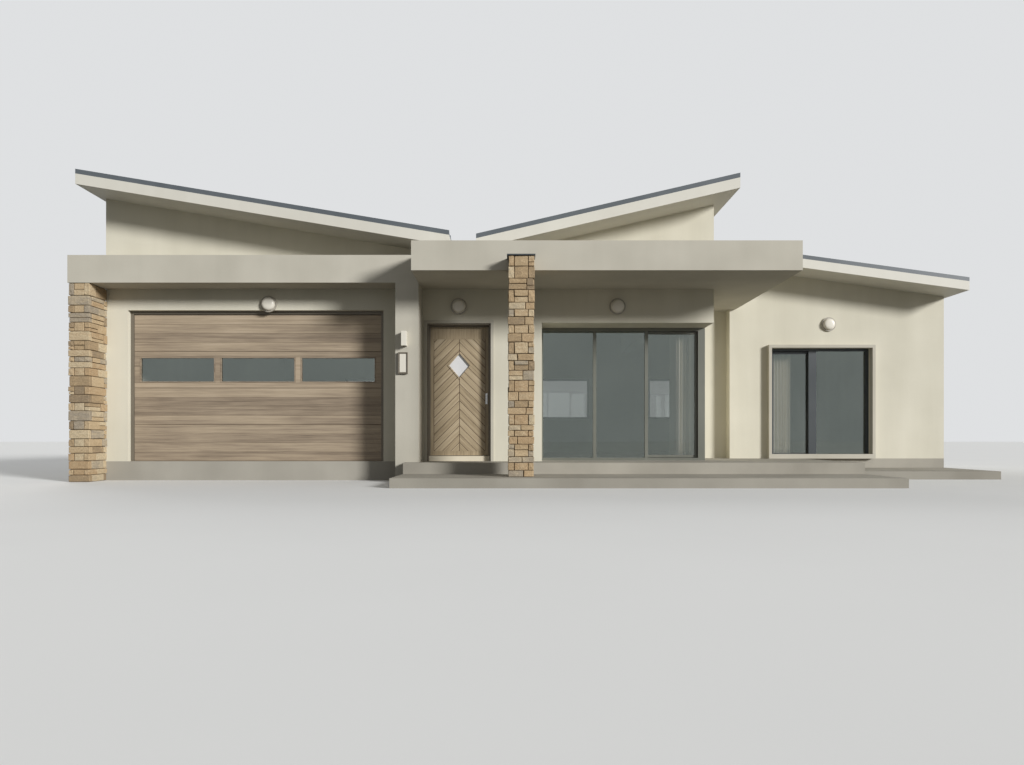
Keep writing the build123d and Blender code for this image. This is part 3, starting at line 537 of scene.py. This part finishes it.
# %% Copying, joining and handing over
def copy_into(model, low, high, tone):
    """A copy of a model that fills a box and carries a tone."""
    low, high = Vector(low), Vector(high)
    size = high - low
    mesh = model.data.copy()
    own = model.dimensions.copy()
    turn = Matrix.Identity(4)
    if (size.y > size.x) != (own.y > own.x):
        turn = Matrix.Rotation(math.radians(90), 4, "Z")
        own = Vector((own.y, own.x, own.z))
    fit = Matrix.Diagonal((size.x / own.x, size.y / own.y, size.z / own.z, 1))
    mesh.transform(Matrix.Translation((low + high) / 2) @ fit @ turn)
    values = mesh.attributes.new("tone", "FLOAT", "POINT")
    values.data.foreach_set("value", [tone] * len(mesh.vertices))
    copied = bpy.data.objects.new(model.name + "_copy", mesh)
    bpy.context.scene.collection.objects.link(copied)
    return copied


def joined(name, parts):
    """One piece made of several."""
    clear_selection()
    for part in parts:
        part.select_set(True)
    bpy.context.view_layer.objects.active = parts[0]
    bpy.ops.object.join()
    whole = bpy.context.object
    whole.name = name
    whole.data.name = name
    return whole


def drop(*models):
    """Removes models once their copies are made."""
    for model in models:
        bpy.data.objects.remove(model)


def hand_over(piece, body, finish=None, replaced=()):
    """Gives a piece its finish and its slot, and lets it ride on its body."""
    if finish:
        piece.data.materials.clear()
        piece.data.materials.append(finishes[finish])
    if replaced:
        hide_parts(*replaced)
    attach(piece, body)
    print(piece.name, "faces:", len(piece.data.polygons))


# %% [markdown]
# ## Stone models
# A split stone is a block whose faces are not quite flat and whose edges are chipped. The stones
# could be pushed out of one big block by a displacement, but then no joint would be open.
# So each is a box that is subdivided once, shaken a little and then bevelled. Nine of them, in
# three lengths, are enough: stretched to their places and seen in turn, they don't look alike.

# %% Nine stones
STONE_LENGTHS = (0.12, 0.20, 0.32)
STONE_DEPTH = 0.10
STONE_HEIGHT = 0.12
STONE_CHIP = 0.006
MODELS_PER_LENGTH = 3


def stone_model(length, seed):
    """One split stone of real size, centred on the origin."""
    half = Vector((length, STONE_DEPTH, STONE_HEIGHT)) / 2
    stone = block(f"stone_model_{seed}", -half, half)
    with shaping(stone):
        bpy.ops.mesh.subdivide(number_cuts=1)
        bpy.ops.transform.vertex_random(offset=STONE_CHIP, uniform=0, normal=0, seed=seed)
    softened(stone, STONE_CHIP, segments=1)
    corners = [Vector(corner) for corner in stone.bound_box]
    stone.data.transform(Matrix.Translation(-(corners[0] + corners[6]) / 2))
    return stone


stone_models = {length: [stone_model(length, 10 * place + turn)
                         for turn in range(1, MODELS_PER_LENGTH + 1)]
                for place, length in enumerate(STONE_LENGTHS)}
print("faces of one stone:", len(stone_models[0.2][0].data.polygons))

# %% [markdown]
# ## Courses of stone
# A mason lays the stones in courses and lets the corner stones reach round the corner, once
# along the front and once along the side. A regular grid would be quicker, but it looks like
# tiles. The same rule as the mason's is used here, in three steps. First, a row is cut into
# stones at random, and none gets shorter than a stone that could be handled.

# %% Cutting a row
SHORTEST_STONE = 0.12
LONGEST_STONE = 0.38


def cuts(dice, start, end):
    """Places where a row of stones is cut."""
    places = [start]
    while end - places[-1] > LONGEST_STONE:
        left = end - places[-1]
        longest = min(LONGEST_STONE, left - SHORTEST_STONE)
        places.append(places[-1] + dice.uniform(SHORTEST_STONE, longest))
    return places + [end]


print("a row of 0.9 m is cut at:", [round(x, 2) for x in cuts(random.Random(1), 0.0, 0.9)])

# %% [markdown]
# Second, each stone is laid. It stands a little further in or out than its neighbour, which is
# what makes such a wall look rough, and a narrow joint stays open round it. A face that shows
# has no joint in front of it. A back that stands against a wall is laid flush with it. A face is
# written as its axis and its sign, so the back, which looks along Y, is (1, 1).

# %% Laying one stone
HALF_JOINT = 0.0025
UNEVENNESS = 0.020
BACK = (1, 1)


def lay(dice, low, high, outside, against_wall):
    """One stone in its box, set in at random from the faces that show."""
    low, high = Vector(low), Vector(high)
    for axis, sign in outside:
        flush = against_wall and (axis, sign) == BACK
        inset = 0.0 if flush else dice.uniform(0.0, UNEVENNESS)
        if sign < 0:
            low[axis] += inset
        else:
            high[axis] -= inset
    for axis in range(3):
        low[axis] += HALF_JOINT
        high[axis] -= HALF_JOINT
    for axis, sign in outside:
        if sign < 0:
            low[axis] -= HALF_JOINT
        else:
            high[axis] += HALF_JOINT
    length = max(high.x - low.x, high.y - low.y)
    nearest = min(STONE_LENGTHS, key=lambda known: abs(known - length))
    return copy_into(dice.choice(stone_models[nearest]), low, high, tone=dice.random())


# %% [markdown]
# Third, a course is one ring of stones. Either its front and back rows run the full width, or its
# side rows do, and the rows between them are trimmed. In a high course some places get two low
# stones instead of one high one, as a mason fills up with what is at hand. The courses turn
# by turn, and the last one takes up the height that is left.

# %% Laying the courses
LOWEST_COURSE = 0.08
HIGHEST_COURSE = 0.19
SPLIT_FROM = 0.13
SPLIT_CHANCE = 0.4
SPLIT_BETWEEN = (0.35, 0.65)
SLIVER = 0.001


def stone_boxes(dice, near, far):
    """The box of one stone, or of two low ones in its place."""
    height = far.z - near.z
    if height > SPLIT_FROM and dice.random() < SPLIT_CHANCE:
        middle = near.z + height * dice.uniform(*SPLIT_BETWEEN)
        return [(near, (far.x, far.y, middle)), ((near.x, near.y, middle), far)]
    return [(near, far)]


def course(dice, low, high, front_runs_through, against_wall):
    """One ring of stones between two levels."""
    stones = []
    for axis in (0, 1):
        other = 1 - axis
        through = front_runs_through == (axis == 0)
        trim = 0 if through else STONE_DEPTH
        for sign in (-1, 1):
            places = cuts(dice, low[axis] + trim, high[axis] - trim)
            for number, (start, end) in enumerate(zip(places, places[1:])):
                near, far = low.copy(), high.copy()
                near[axis], far[axis] = start, end
                outside = [(other, sign)]
                if sign < 0:
                    far[other] = low[other] + STONE_DEPTH
                else:
                    near[other] = high[other] - STONE_DEPTH
                if through and number == 0:
                    outside.append((axis, -1))
                if through and number == len(places) - 2:
                    outside.append((axis, 1))
                for box in stone_boxes(dice, near, far):
                    stones.append(lay(dice, *box, outside, against_wall))
    return stones


def stone_stack(dice, low, high, rank, against_wall):
    """Courses of stones from bottom to top."""
    low, high = Vector(low), Vector(high)
    stones = []
    level = low.z
    while high.z - level > SLIVER:
        height = dice.uniform(LOWEST_COURSE, HIGHEST_COURSE)
        if high.z - level - height < LOWEST_COURSE:
            height = high.z - level
        stones += course(dice, Vector((low.x, low.y, level)),
                         Vector((high.x, high.y, level + height)), rank % 2 == 0, against_wall)
        level += height
        rank += 1
    return stones


# %% [markdown]
# ## The stone pier and the stone column
# The pier carries the left end of the portal, the column the front edge of the canopy. Both
# could be solid stones stacked up, but the joints would then show light. So the stones stand
# round a mortar core, which lies deeper than the lowest point of any stone's face. The column
# rises past the slab's underside in front of it, so its head is a short second stack.

# %% Pier and column
MORTAR_INSET = 0.032
WALL_SIDE_INSET = 0.015
CORE_EDGE = 0.003


def core(name, low, high, against_wall):
    """The mortar behind the stones."""
    inset = Vector((MORTAR_INSET, MORTAR_INSET, 0.0))
    near, far = Vector(low) + inset, Vector(high) - inset
    if against_wall:
        far.y = high[1] - WALL_SIDE_INSET
    piece = softened(block(name, near, far), CORE_EDGE)
    piece.data.materials.append(finishes["mortar"])
    return piece


def stone_piece(name, stacks, seed, node, against_wall=False):
    """Stones and mortar of one pier as two pieces."""
    dice = random.Random(seed)
    stones = []
    for rank, (low, high) in enumerate(stacks):
        stones += stone_stack(dice, low, high, rank, against_wall)
    print(name, "stones:", len(stones))
    whole = joined(name, stones)
    with shaping(whole):
        bpy.ops.mesh.faces_shade_flat()
    hand_over(whole, "house", "stone", [node])
    label = name + "_mortar"
    cores = [core(f"{name}_core_{rank}", low, high, against_wall)
             for rank, (low, high) in enumerate(stacks)]
    mortar = joined(label, cores) if len(cores) > 1 else settle(cores[0], label)
    hand_over(mortar, "house", "mortar", [node])


pier_low, pier_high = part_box("stone_pier")
column_low, column_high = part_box("stone_column")
canopy_low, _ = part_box("canopy")
stone_piece("pier_stones", [(pier_low, pier_high)], 7, "stone_pier", against_wall=True)
soffit = canopy_low.z
stone_piece("column_stones", [
    (column_low, (column_high.x, column_high.y, soffit)),
    ((column_low.x, column_low.y, soffit), (column_high.x, canopy_low.y, column_high.z)),
], 21, "stone_column")
drop(*[model for row in stone_models.values() for model in row])

# %% [markdown]
# ## Boards on the garage door
# The sectional door has four sections. They carry boards with narrow shadow gaps, four to a
# section, and one section has a row of three panes. The places of the sections and the panes
# could be typed in, but they are worked out from the boxes of the solids, so that the boards
# fit the real openings.

# %% Sections and panes
SECTIONS = 4
TONGUE = 0.010
PANES = 3
PANE_DIVIDER = 0.090

door_low, door_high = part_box("garage_door")
panes_low, panes_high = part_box("garage_door_glass")
section_height = (door_high.z - TONGUE - door_low.z) / SECTIONS
pane_width = (panes_high.x - panes_low.x - (PANES - 1) * PANE_DIVIDER) / PANES
pane_starts = [panes_low.x + index * (pane_width + PANE_DIVIDER) for index in range(PANES)]
print("section height:", round(section_height, 3), "pane width:", round(pane_width, 3))

# %% [markdown]
# Grooves could be cut into each section to draw the boards, but then they would all share one
# `tone`. So one board is modelled and bevelled, and its copies fill each section. Beside the
# panes, boards lie only above, below and between them.

# %% Garage door boards
SECTION_EDGE = 0.006
BOARDS_PER_SECTION = 4
BOARD_HEIGHT = 0.15
BOARD_PROUD = 0.006
BOARD_SINK = 0.002
BOARD_GAP = 0.004
BOARD_END_GAP = 0.0025
BOARD_EDGE = 0.002

board_half = Vector((door_high.x - door_low.x, BOARD_PROUD + BOARD_SINK, BOARD_HEIGHT)) / 2
board_model = softened(block("board_model", -board_half, board_half), BOARD_EDGE)
board_dice = random.Random(3)
boards = []


def board(start, end, bottom, top):
    """One board on the face of the door, with a small gap at both ends."""
    boards.append(copy_into(
        board_model, (start + BOARD_END_GAP, door_low.y - BOARD_PROUD, bottom),
        (end - BOARD_END_GAP, door_low.y + BOARD_SINK, top), tone=board_dice.random()))


for section in range(SECTIONS):
    bottom = door_low.z + section * section_height + SECTION_EDGE
    top = door_low.z + (section + 1) * section_height - SECTION_EDGE
    pitch = (top - bottom + BOARD_GAP) / BOARDS_PER_SECTION
    if bottom < panes_low.z < top:
        rows = [(bottom, panes_low.z - BOARD_GAP), (panes_high.z + BOARD_GAP, top)]
        pane_edges = [x for start in pane_starts for x in (start, start + pane_width)]
        edges = [door_low.x, *pane_edges, door_high.x]
        for start, end in zip(edges[::2], edges[1::2]):
            board(start, end, panes_low.z, panes_high.z)
    else:
        rows = [(bottom + row * pitch, bottom + (row + 1) * pitch - BOARD_GAP)
                for row in range(BOARDS_PER_SECTION)]
    for row_bottom, row_top in rows:
        board(door_low.x, door_high.x, row_bottom, row_top)
drop(board_model)
print("boards:", len(boards))
hand_over(joined("garage_door_boards", boards), "house", "garage_wood")

# %% [markdown]
# ## Beads round the panes
# A pane is held by a bead, a thin frame that lies against the glass. Four bars would leave seams
# at the corners. So a bead starts as one flat face: it is inset, the middle is deleted, and the
# ring that is left gets its thickness from Solidify and its soft edges from Bevel. The same
# steps work for any outline.

# %% Beads
BEAD_WIDTH = 0.022
BEAD_PROUD = 0.008
BEAD_EDGE = 0.002


def ring(outline, width, depth, edge):
    """A flat face turned into a raised frame that follows its outline."""
    with shaping(outline):
        bpy.ops.mesh.inset(thickness=width)
        bpy.ops.mesh.delete(type="FACE")
    thick = outline.modifiers.new("thickness", "SOLIDIFY")
    thick.thickness = depth
    thick.offset = 1
    thick.use_even_offset = True
    pick(outline)
    bpy.ops.object.modifier_apply(modifier=thick.name)
    return softened(outline, edge)


def upright_face(name, x0, x1, z0, z1, y):
    """A flat face that looks to the front."""
    clear_selection()
    bpy.ops.mesh.primitive_plane_add(size=1, location=((x0 + x1) / 2, y, (z0 + z1) / 2),
                                     rotation=(math.radians(90), 0, 0))
    bpy.context.object.scale = (x1 - x0, z1 - z0, 1)
    return settle(bpy.context.object, name)


bead_depth = panes_low.y - door_low.y + BEAD_PROUD
beads = []
for index, start in enumerate(pane_starts):
    pane = upright_face(f"bead_{index}", start, start + pane_width, panes_low.z, panes_high.z,
                        panes_low.y)
    beads.append(ring(pane, BEAD_WIDTH, bead_depth, BEAD_EDGE))
hand_over(joined("garage_window_beads", beads), "house", "garage_wood")

# %% [markdown]
# ## The diamond pane of the front door
# The diamond has a moulding round it. It could be four mitred bars, but it is the same ring
# again, started from a circle with four corners. It rides on the door leaf, so that it swings
# with it.

# %% Diamond moulding
MOULDING = 0.026
MOULDING_DEPTH = 0.010
MOULDING_EDGE = 0.003

leaf_low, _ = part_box("front_door_leaf")
diamond_low, diamond_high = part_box("front_door_glass")
diamond_middle = (diamond_low + diamond_high) / 2

clear_selection()
bpy.ops.mesh.primitive_circle_add(vertices=4, radius=1, fill_type="NGON",
                                  location=(diamond_middle.x, leaf_low.y, diamond_middle.z),
                                  rotation=(math.radians(90), 0, 0))
diamond = bpy.context.object
diamond.scale = ((diamond_high.x - diamond_low.x) / 2 + MOULDING,
                 (diamond_high.z - diamond_low.z) / 2 + MOULDING, 1)
diamond = ring(settle(diamond, "front_door_diamond"), MOULDING, MOULDING_DEPTH, MOULDING_EDGE)
hand_over(diamond, "front_door", "door_wood")

# %% [markdown]
# ## Round wall lights
# Four round lights hang over the openings, each a flat base with an opal dome. A spin of a
# profile would make them, and so does a flat cylinder whose front face is inset step by step,
# which needs no pole to close. An inset with a depth makes a slope, and an inset with none makes
# a flat rim, so a list of such steps is the section of the lamp.

# %% Turning a light
LIGHT_SIDES = 48
SMOOTH_BELOW = math.radians(35)


def faces_front(face):
    """Whether a face looks to the front."""
    return face.normal.y < -0.9


def turned(name, x, y, z, radius, base, steps):
    """A round piece on a wall, built up by insets from its front face."""
    clear_selection()
    bpy.ops.mesh.primitive_cylinder_add(vertices=LIGHT_SIDES, radius=radius, depth=base,
                                        location=(x, y - base / 2, z),
                                        rotation=(math.radians(90), 0, 0))
    piece = settle(bpy.context.object, name)
    with shaping(piece, faces_front):
        for width, rise in steps:
            bpy.ops.mesh.inset(thickness=width, depth=rise)
    pick(piece)
    bpy.ops.object.shade_smooth()
    bpy.ops.object.shade_smooth_by_angle(angle=SMOOTH_BELOW)
    return piece


# %% [markdown]
# All four lights are the same. The dome is a second, smaller piece, because it is opal where
# the base is painted. It starts inside the base, so that no gap shows between them. Each place
# is given as the middle along X, the level, and the Y of the wall's face.

# %% Wall lights
BASE_DEPTH = 0.031
BASE_STEPS = [(0.004, 0.004), (0.012, 0.0), (0.003, -0.006), (0.006, 0.0)]
DOME_START = 0.026
DOME_DEPTH = 0.012
DOME_INSET = 0.024
DOME_STEPS = [(0.003, 0.016), (0.005, 0.013), (0.009, 0.011), (0.014, 0.008), (0.018, 0.004),
              (0.024, 0.002)]
LIGHT_RADIUS = 0.142
GARAGE_LIGHT_LEVEL = 3.06
LIGHT_LEVEL = 3.02
WING_WALL = 2.08
LIGHT_PLACES = [(-4.2275, GARAGE_LIGHT_LEVEL, 0.0), (DOOR_MIDDLE, LIGHT_LEVEL, 0.0),
                (1.8305, LIGHT_LEVEL, 0.0), (6.3505, LIGHT_LEVEL, WING_WALL)]
lamp_bases = []
lamp_domes = []
for number, (x, level, wall_face) in enumerate(LIGHT_PLACES):
    lamp_bases.append(turned(f"lamp_base_{number}", x, wall_face, level, LIGHT_RADIUS,
                             BASE_DEPTH, BASE_STEPS))
    lamp_domes.append(turned(f"lamp_dome_{number}", x, wall_face - DOME_START, level,
                             LIGHT_RADIUS - DOME_INSET, DOME_DEPTH, DOME_STEPS))
hand_over(joined("lamp_bases", lamp_bases), "house", "light_base",
          ["wall_light_bases"])
hand_over(joined("lamp_domes", lamp_domes), "house", "light_dome",
          ["wall_light_domes"])

# %% [markdown]
# ## Lantern and wall box
# The lantern on the pier is a box that is open above and below, and the lamp sits in the
# hollow. It could be put together from plates, but one block is enough: the top and the bottom
# are inset, their middles are pushed in, and a bevel rounds the edges.

# %% Lantern
LANTERN_WALL = 0.008
LANTERN_HOLLOW = 0.058
LANTERN_TAPER = 0.0005
LANTERN_EDGE = 0.0025

lantern_low, lantern_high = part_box("box_lantern")
lantern = block("lantern", lantern_low, lantern_high)
with shaping(lantern, lambda face: abs(face.normal.z) > 0.9):
    bpy.ops.mesh.inset(thickness=LANTERN_WALL, use_individual=True)
    bpy.ops.mesh.inset(thickness=LANTERN_TAPER, depth=-LANTERN_HOLLOW, use_individual=True)
hand_over(softened(lantern, LANTERN_EDGE), "house", "light_dome",
          ["box_lantern"])

# %% [markdown]
# The box under the lantern has a dark rim round a pale panel. A frame and a panel could be two
# pieces, but again one block will do: its front is inset for the rim, pushed in, and inset once
# more, and the face that is left in the middle gets a material of its own.

# %% Wall box
BOX_RIM = 0.014
BOX_RECESS = 0.012
BOX_TAPER = 0.001
PANEL_MARGIN = 0.012
BOX_EDGE = 0.002

wall_box_low, wall_box_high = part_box("framed_box")
wall_box = block("wall_box", wall_box_low, wall_box_high)
wall_box.data.materials.append(finishes["panel_rim"])
wall_box.data.materials.append(finishes["light_dome"])
with shaping(wall_box, faces_front):
    bpy.ops.mesh.inset(thickness=BOX_RIM)
    bpy.ops.mesh.inset(thickness=BOX_TAPER, depth=-BOX_RECESS)
    bpy.ops.mesh.inset(thickness=PANEL_MARGIN)
    wall_box.active_material_index = 1
    bpy.ops.object.material_slot_assign()
hand_over(softened(wall_box, BOX_EDGE), "house", None, ["framed_box"])

# %% [markdown]
# ## Curtains
# Behind the right-hand pane of the living room and the left-hand pane of the patio door hangs a
# curtain, drawn to the side. Cloth that is gathered on a rail falls in upright folds, which
# open out towards the floor. A cloth simulation could gather it, but behind glass a wave looks
# the same. So the sheet is a grid whose points are moved along a wave.

# %% Curtains
FOLD_STEPS = 120
DROP_STEPS = 12
FOLD_DEPTH = 0.035
RAIL_SHARE = 0.75
WOBBLE = 0.35
CLOTH = 0.002


def folded(piece, x0, x1, y, z0, z1, folds, seed):
    """Moves the points of a flat grid onto upright folds."""
    fold_dice = random.Random(seed)
    phases = [fold_dice.uniform(-WOBBLE, WOBBLE) for _ in range(folds + 2)]
    for point in piece.data.vertices:
        along = point.co.x + 0.5
        down = 0.5 - point.co.y
        turn = along * folds
        wobble = phases[int(turn)] * (1 - (turn % 1)) + phases[int(turn) + 1] * (turn % 1)
        swing = math.sin((turn + wobble * down) * 2 * math.pi)
        share = RAIL_SHARE + (1 - RAIL_SHARE) * down
        point.co = (x0 + (x1 - x0) * along, y + swing * FOLD_DEPTH * share,
                    z1 - (z1 - z0) * down)


def curtain(name, x0, x1, y, z0, z1, folds, seed):
    """A gathered curtain between two levels: a grid moved onto folds and given a thickness."""
    clear_selection()
    bpy.ops.mesh.primitive_grid_add(x_subdivisions=FOLD_STEPS, y_subdivisions=DROP_STEPS, size=1)
    piece = settle(bpy.context.object, name)
    folded(piece, x0, x1, y, z0, z1, folds, seed)
    cloth = piece.modifiers.new("cloth", "SOLIDIFY")
    cloth.thickness = CLOTH
    pick(piece)
    bpy.ops.object.modifier_apply(modifier=cloth.name)
    bpy.ops.object.shade_smooth()
    hand_over(piece, "house", finish="curtain")


curtain("living_curtain", x0=3.04, x1=3.36, y=0.86, z0=0.36, z1=2.66, folds=5, seed=5)
curtain("patio_curtain", x0=5.26, x1=5.72, y=2.44, z0=0.36, z1=2.46, folds=7, seed=6)

# %% [markdown]
# ## Screws in the roof sheets
# Profiled sheets are screwed down through the tops of their ribs. The heads are small and could
# be left to a bump, but in rows they give the roof its scale from above. One head is modelled: a
# short eight-sided cylinder whose top is inset into a dome. It is tilted with the roof and
# copied along the ribs.

# %% Roof screws
RIB_PITCH = 0.45
SHEET_RISE = 0.077
VERGE = 0.06
SCREW_PITCH = 1.2
SCREW_MARGIN = 0.25
HEAD_RADIUS = 0.011
HEAD_HEIGHT = 0.006
DOME_SLOPE = (0.004, 0.003)


def screw_head():
    """One eight-sided screw head on the origin."""
    clear_selection()
    bpy.ops.mesh.primitive_cylinder_add(vertices=8, radius=HEAD_RADIUS, depth=HEAD_HEIGHT)
    head = settle(bpy.context.object, "screw_model")
    width, rise = DOME_SLOPE
    with shaping(head, lambda face: face.normal.z > 0.9):
        bpy.ops.mesh.inset(thickness=width, depth=rise)
    return head


def screw_rows(name, node, falls_right):
    """Screw heads along the ribs of one roof."""
    low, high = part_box(node)
    fall = high.z - low.z - SHEET_RISE
    slope = math.atan2(fall, high.x - low.x)
    tilt = Matrix.Rotation(slope if falls_right else -slope, 4, "Y")
    head = screw_head()
    rib_count = int((high.y - low.y - 2 * VERGE) // RIB_PITCH)
    first = (low.y + high.y - (rib_count - 1) * RIB_PITCH) / 2
    columns = int((high.x - low.x - 2 * SCREW_MARGIN) // SCREW_PITCH) + 1
    spacing = (high.x - low.x - 2 * SCREW_MARGIN) / (columns - 1)
    heads = []
    for rib in range(rib_count):
        for column in range(columns):
            x = low.x + SCREW_MARGIN + column * spacing
            share = (high.x - x if falls_right else x - low.x) / (high.x - low.x)
            z = low.z + SHEET_RISE + fall * share
            mesh = head.data.copy()
            mesh.transform(Matrix.Translation((x, first + rib * RIB_PITCH, z)) @ tilt)
            copied = bpy.data.objects.new("screw", mesh)
            bpy.context.scene.collection.objects.link(copied)
            heads.append(copied)
    drop(head)
    hand_over(joined(name, heads), "house", "steel")


screw_rows("garage_roof_screws", "garage_roof_sheet", falls_right=True)
screw_rows("living_roof_screws", "living_roof_sheet", falls_right=False)
screw_rows("wing_roof_screws", "wing_roof_sheet", falls_right=True)

# %% [markdown]
# ## Floor, light and air
# The house stands on a plain floor that reaches to the horizon. A floor that is pale for all
# light would throw much of it up under the roofs and slabs. So the floor looks pale to the
# camera, in reflections and through glass, and is dark to light that only bounces. The
# undersides of the slabs then stay in shade.

# %% Floor
BOUNCE_COLOUR = (0.12, 0.12, 0.11, 1)
FLOOR_SIZE = 600


def is_looked_at(start):
    """One for rays of the camera, of reflections and through glass, otherwise zero."""
    looked = start.node("ShaderNodeLightPath", output="Is Camera Ray")
    for kind in ("Is Glossy Ray", "Is Transmission Ray"):
        looked = looked.maths("MAXIMUM", looked, start.node("ShaderNodeLightPath", output=kind))
    return looked


def floor_finish(start, place):
    """Pale where it is looked at, dark where light bounces off it."""
    clouds = noise(place, 0.4)
    pale = clouds.blend(paint(228, 228, 226), paint(233, 233, 231))
    return surface(start, is_looked_at(start).blend(BOUNCE_COLOUR, pale), 0.95,
                   fixed={"Specular IOR Level": 0.2})


clear_selection()
bpy.ops.mesh.primitive_plane_add(size=FLOOR_SIZE, location=(0, 0, 0))
floor = settle(bpy.context.object, "floor")
floor.data.materials.append(material("floor", floor_finish))
print("floor:", FLOOR_SIZE, "m wide")

# %% [markdown]
# A picture of a sky could light the house, but plain lamps keep the colours as they are
# written. A soft lamp comes from the front right at a low angle, as the evening light in the
# photograph does, and a weak one from behind keeps the back alive. The world gives an even
# fill. Where it is looked at, it is brighter than that fill, and so the air stays pale.

# %% Lamps and world
FILL = 0.32
SHOWN = 0.76
AIR_COLOUR = (0.97, 0.985, 1.0, 1)


def sun(name, towards, strength, spread):
    """A lamp as far away as the sun. The wider its spread in degrees, the softer its shadows."""
    lamp = bpy.data.lights.new(name, "SUN")
    lamp.energy = strength
    lamp.angle = math.radians(spread)
    holder = bpy.data.objects.new(name, lamp)
    holder.rotation_euler = Vector(towards).to_track_quat("-Z", "Y").to_euler()
    bpy.context.scene.collection.objects.link(holder)


sun("key_lamp", towards=(-1.1, 1.0, -0.45), strength=3.7, spread=12)
sun("back_lamp", towards=(0.6, -1.0, -0.8), strength=0.8, spread=30)

world = bpy.data.worlds.new("studio")
bpy.context.scene.world = world
world.use_nodes = True
world.node_tree.nodes.clear()
air = Wire(world.node_tree)
glow = air.node("ShaderNodeBackground", {}, {
    "Color": AIR_COLOUR, "Strength": is_looked_at(air) * (SHOWN - FILL) + FILL})
sky = world.node_tree.nodes.new("ShaderNodeOutputWorld")
world.node_tree.links.new(glow.socket, sky.inputs["Surface"])
print("fill of the world:", FILL)
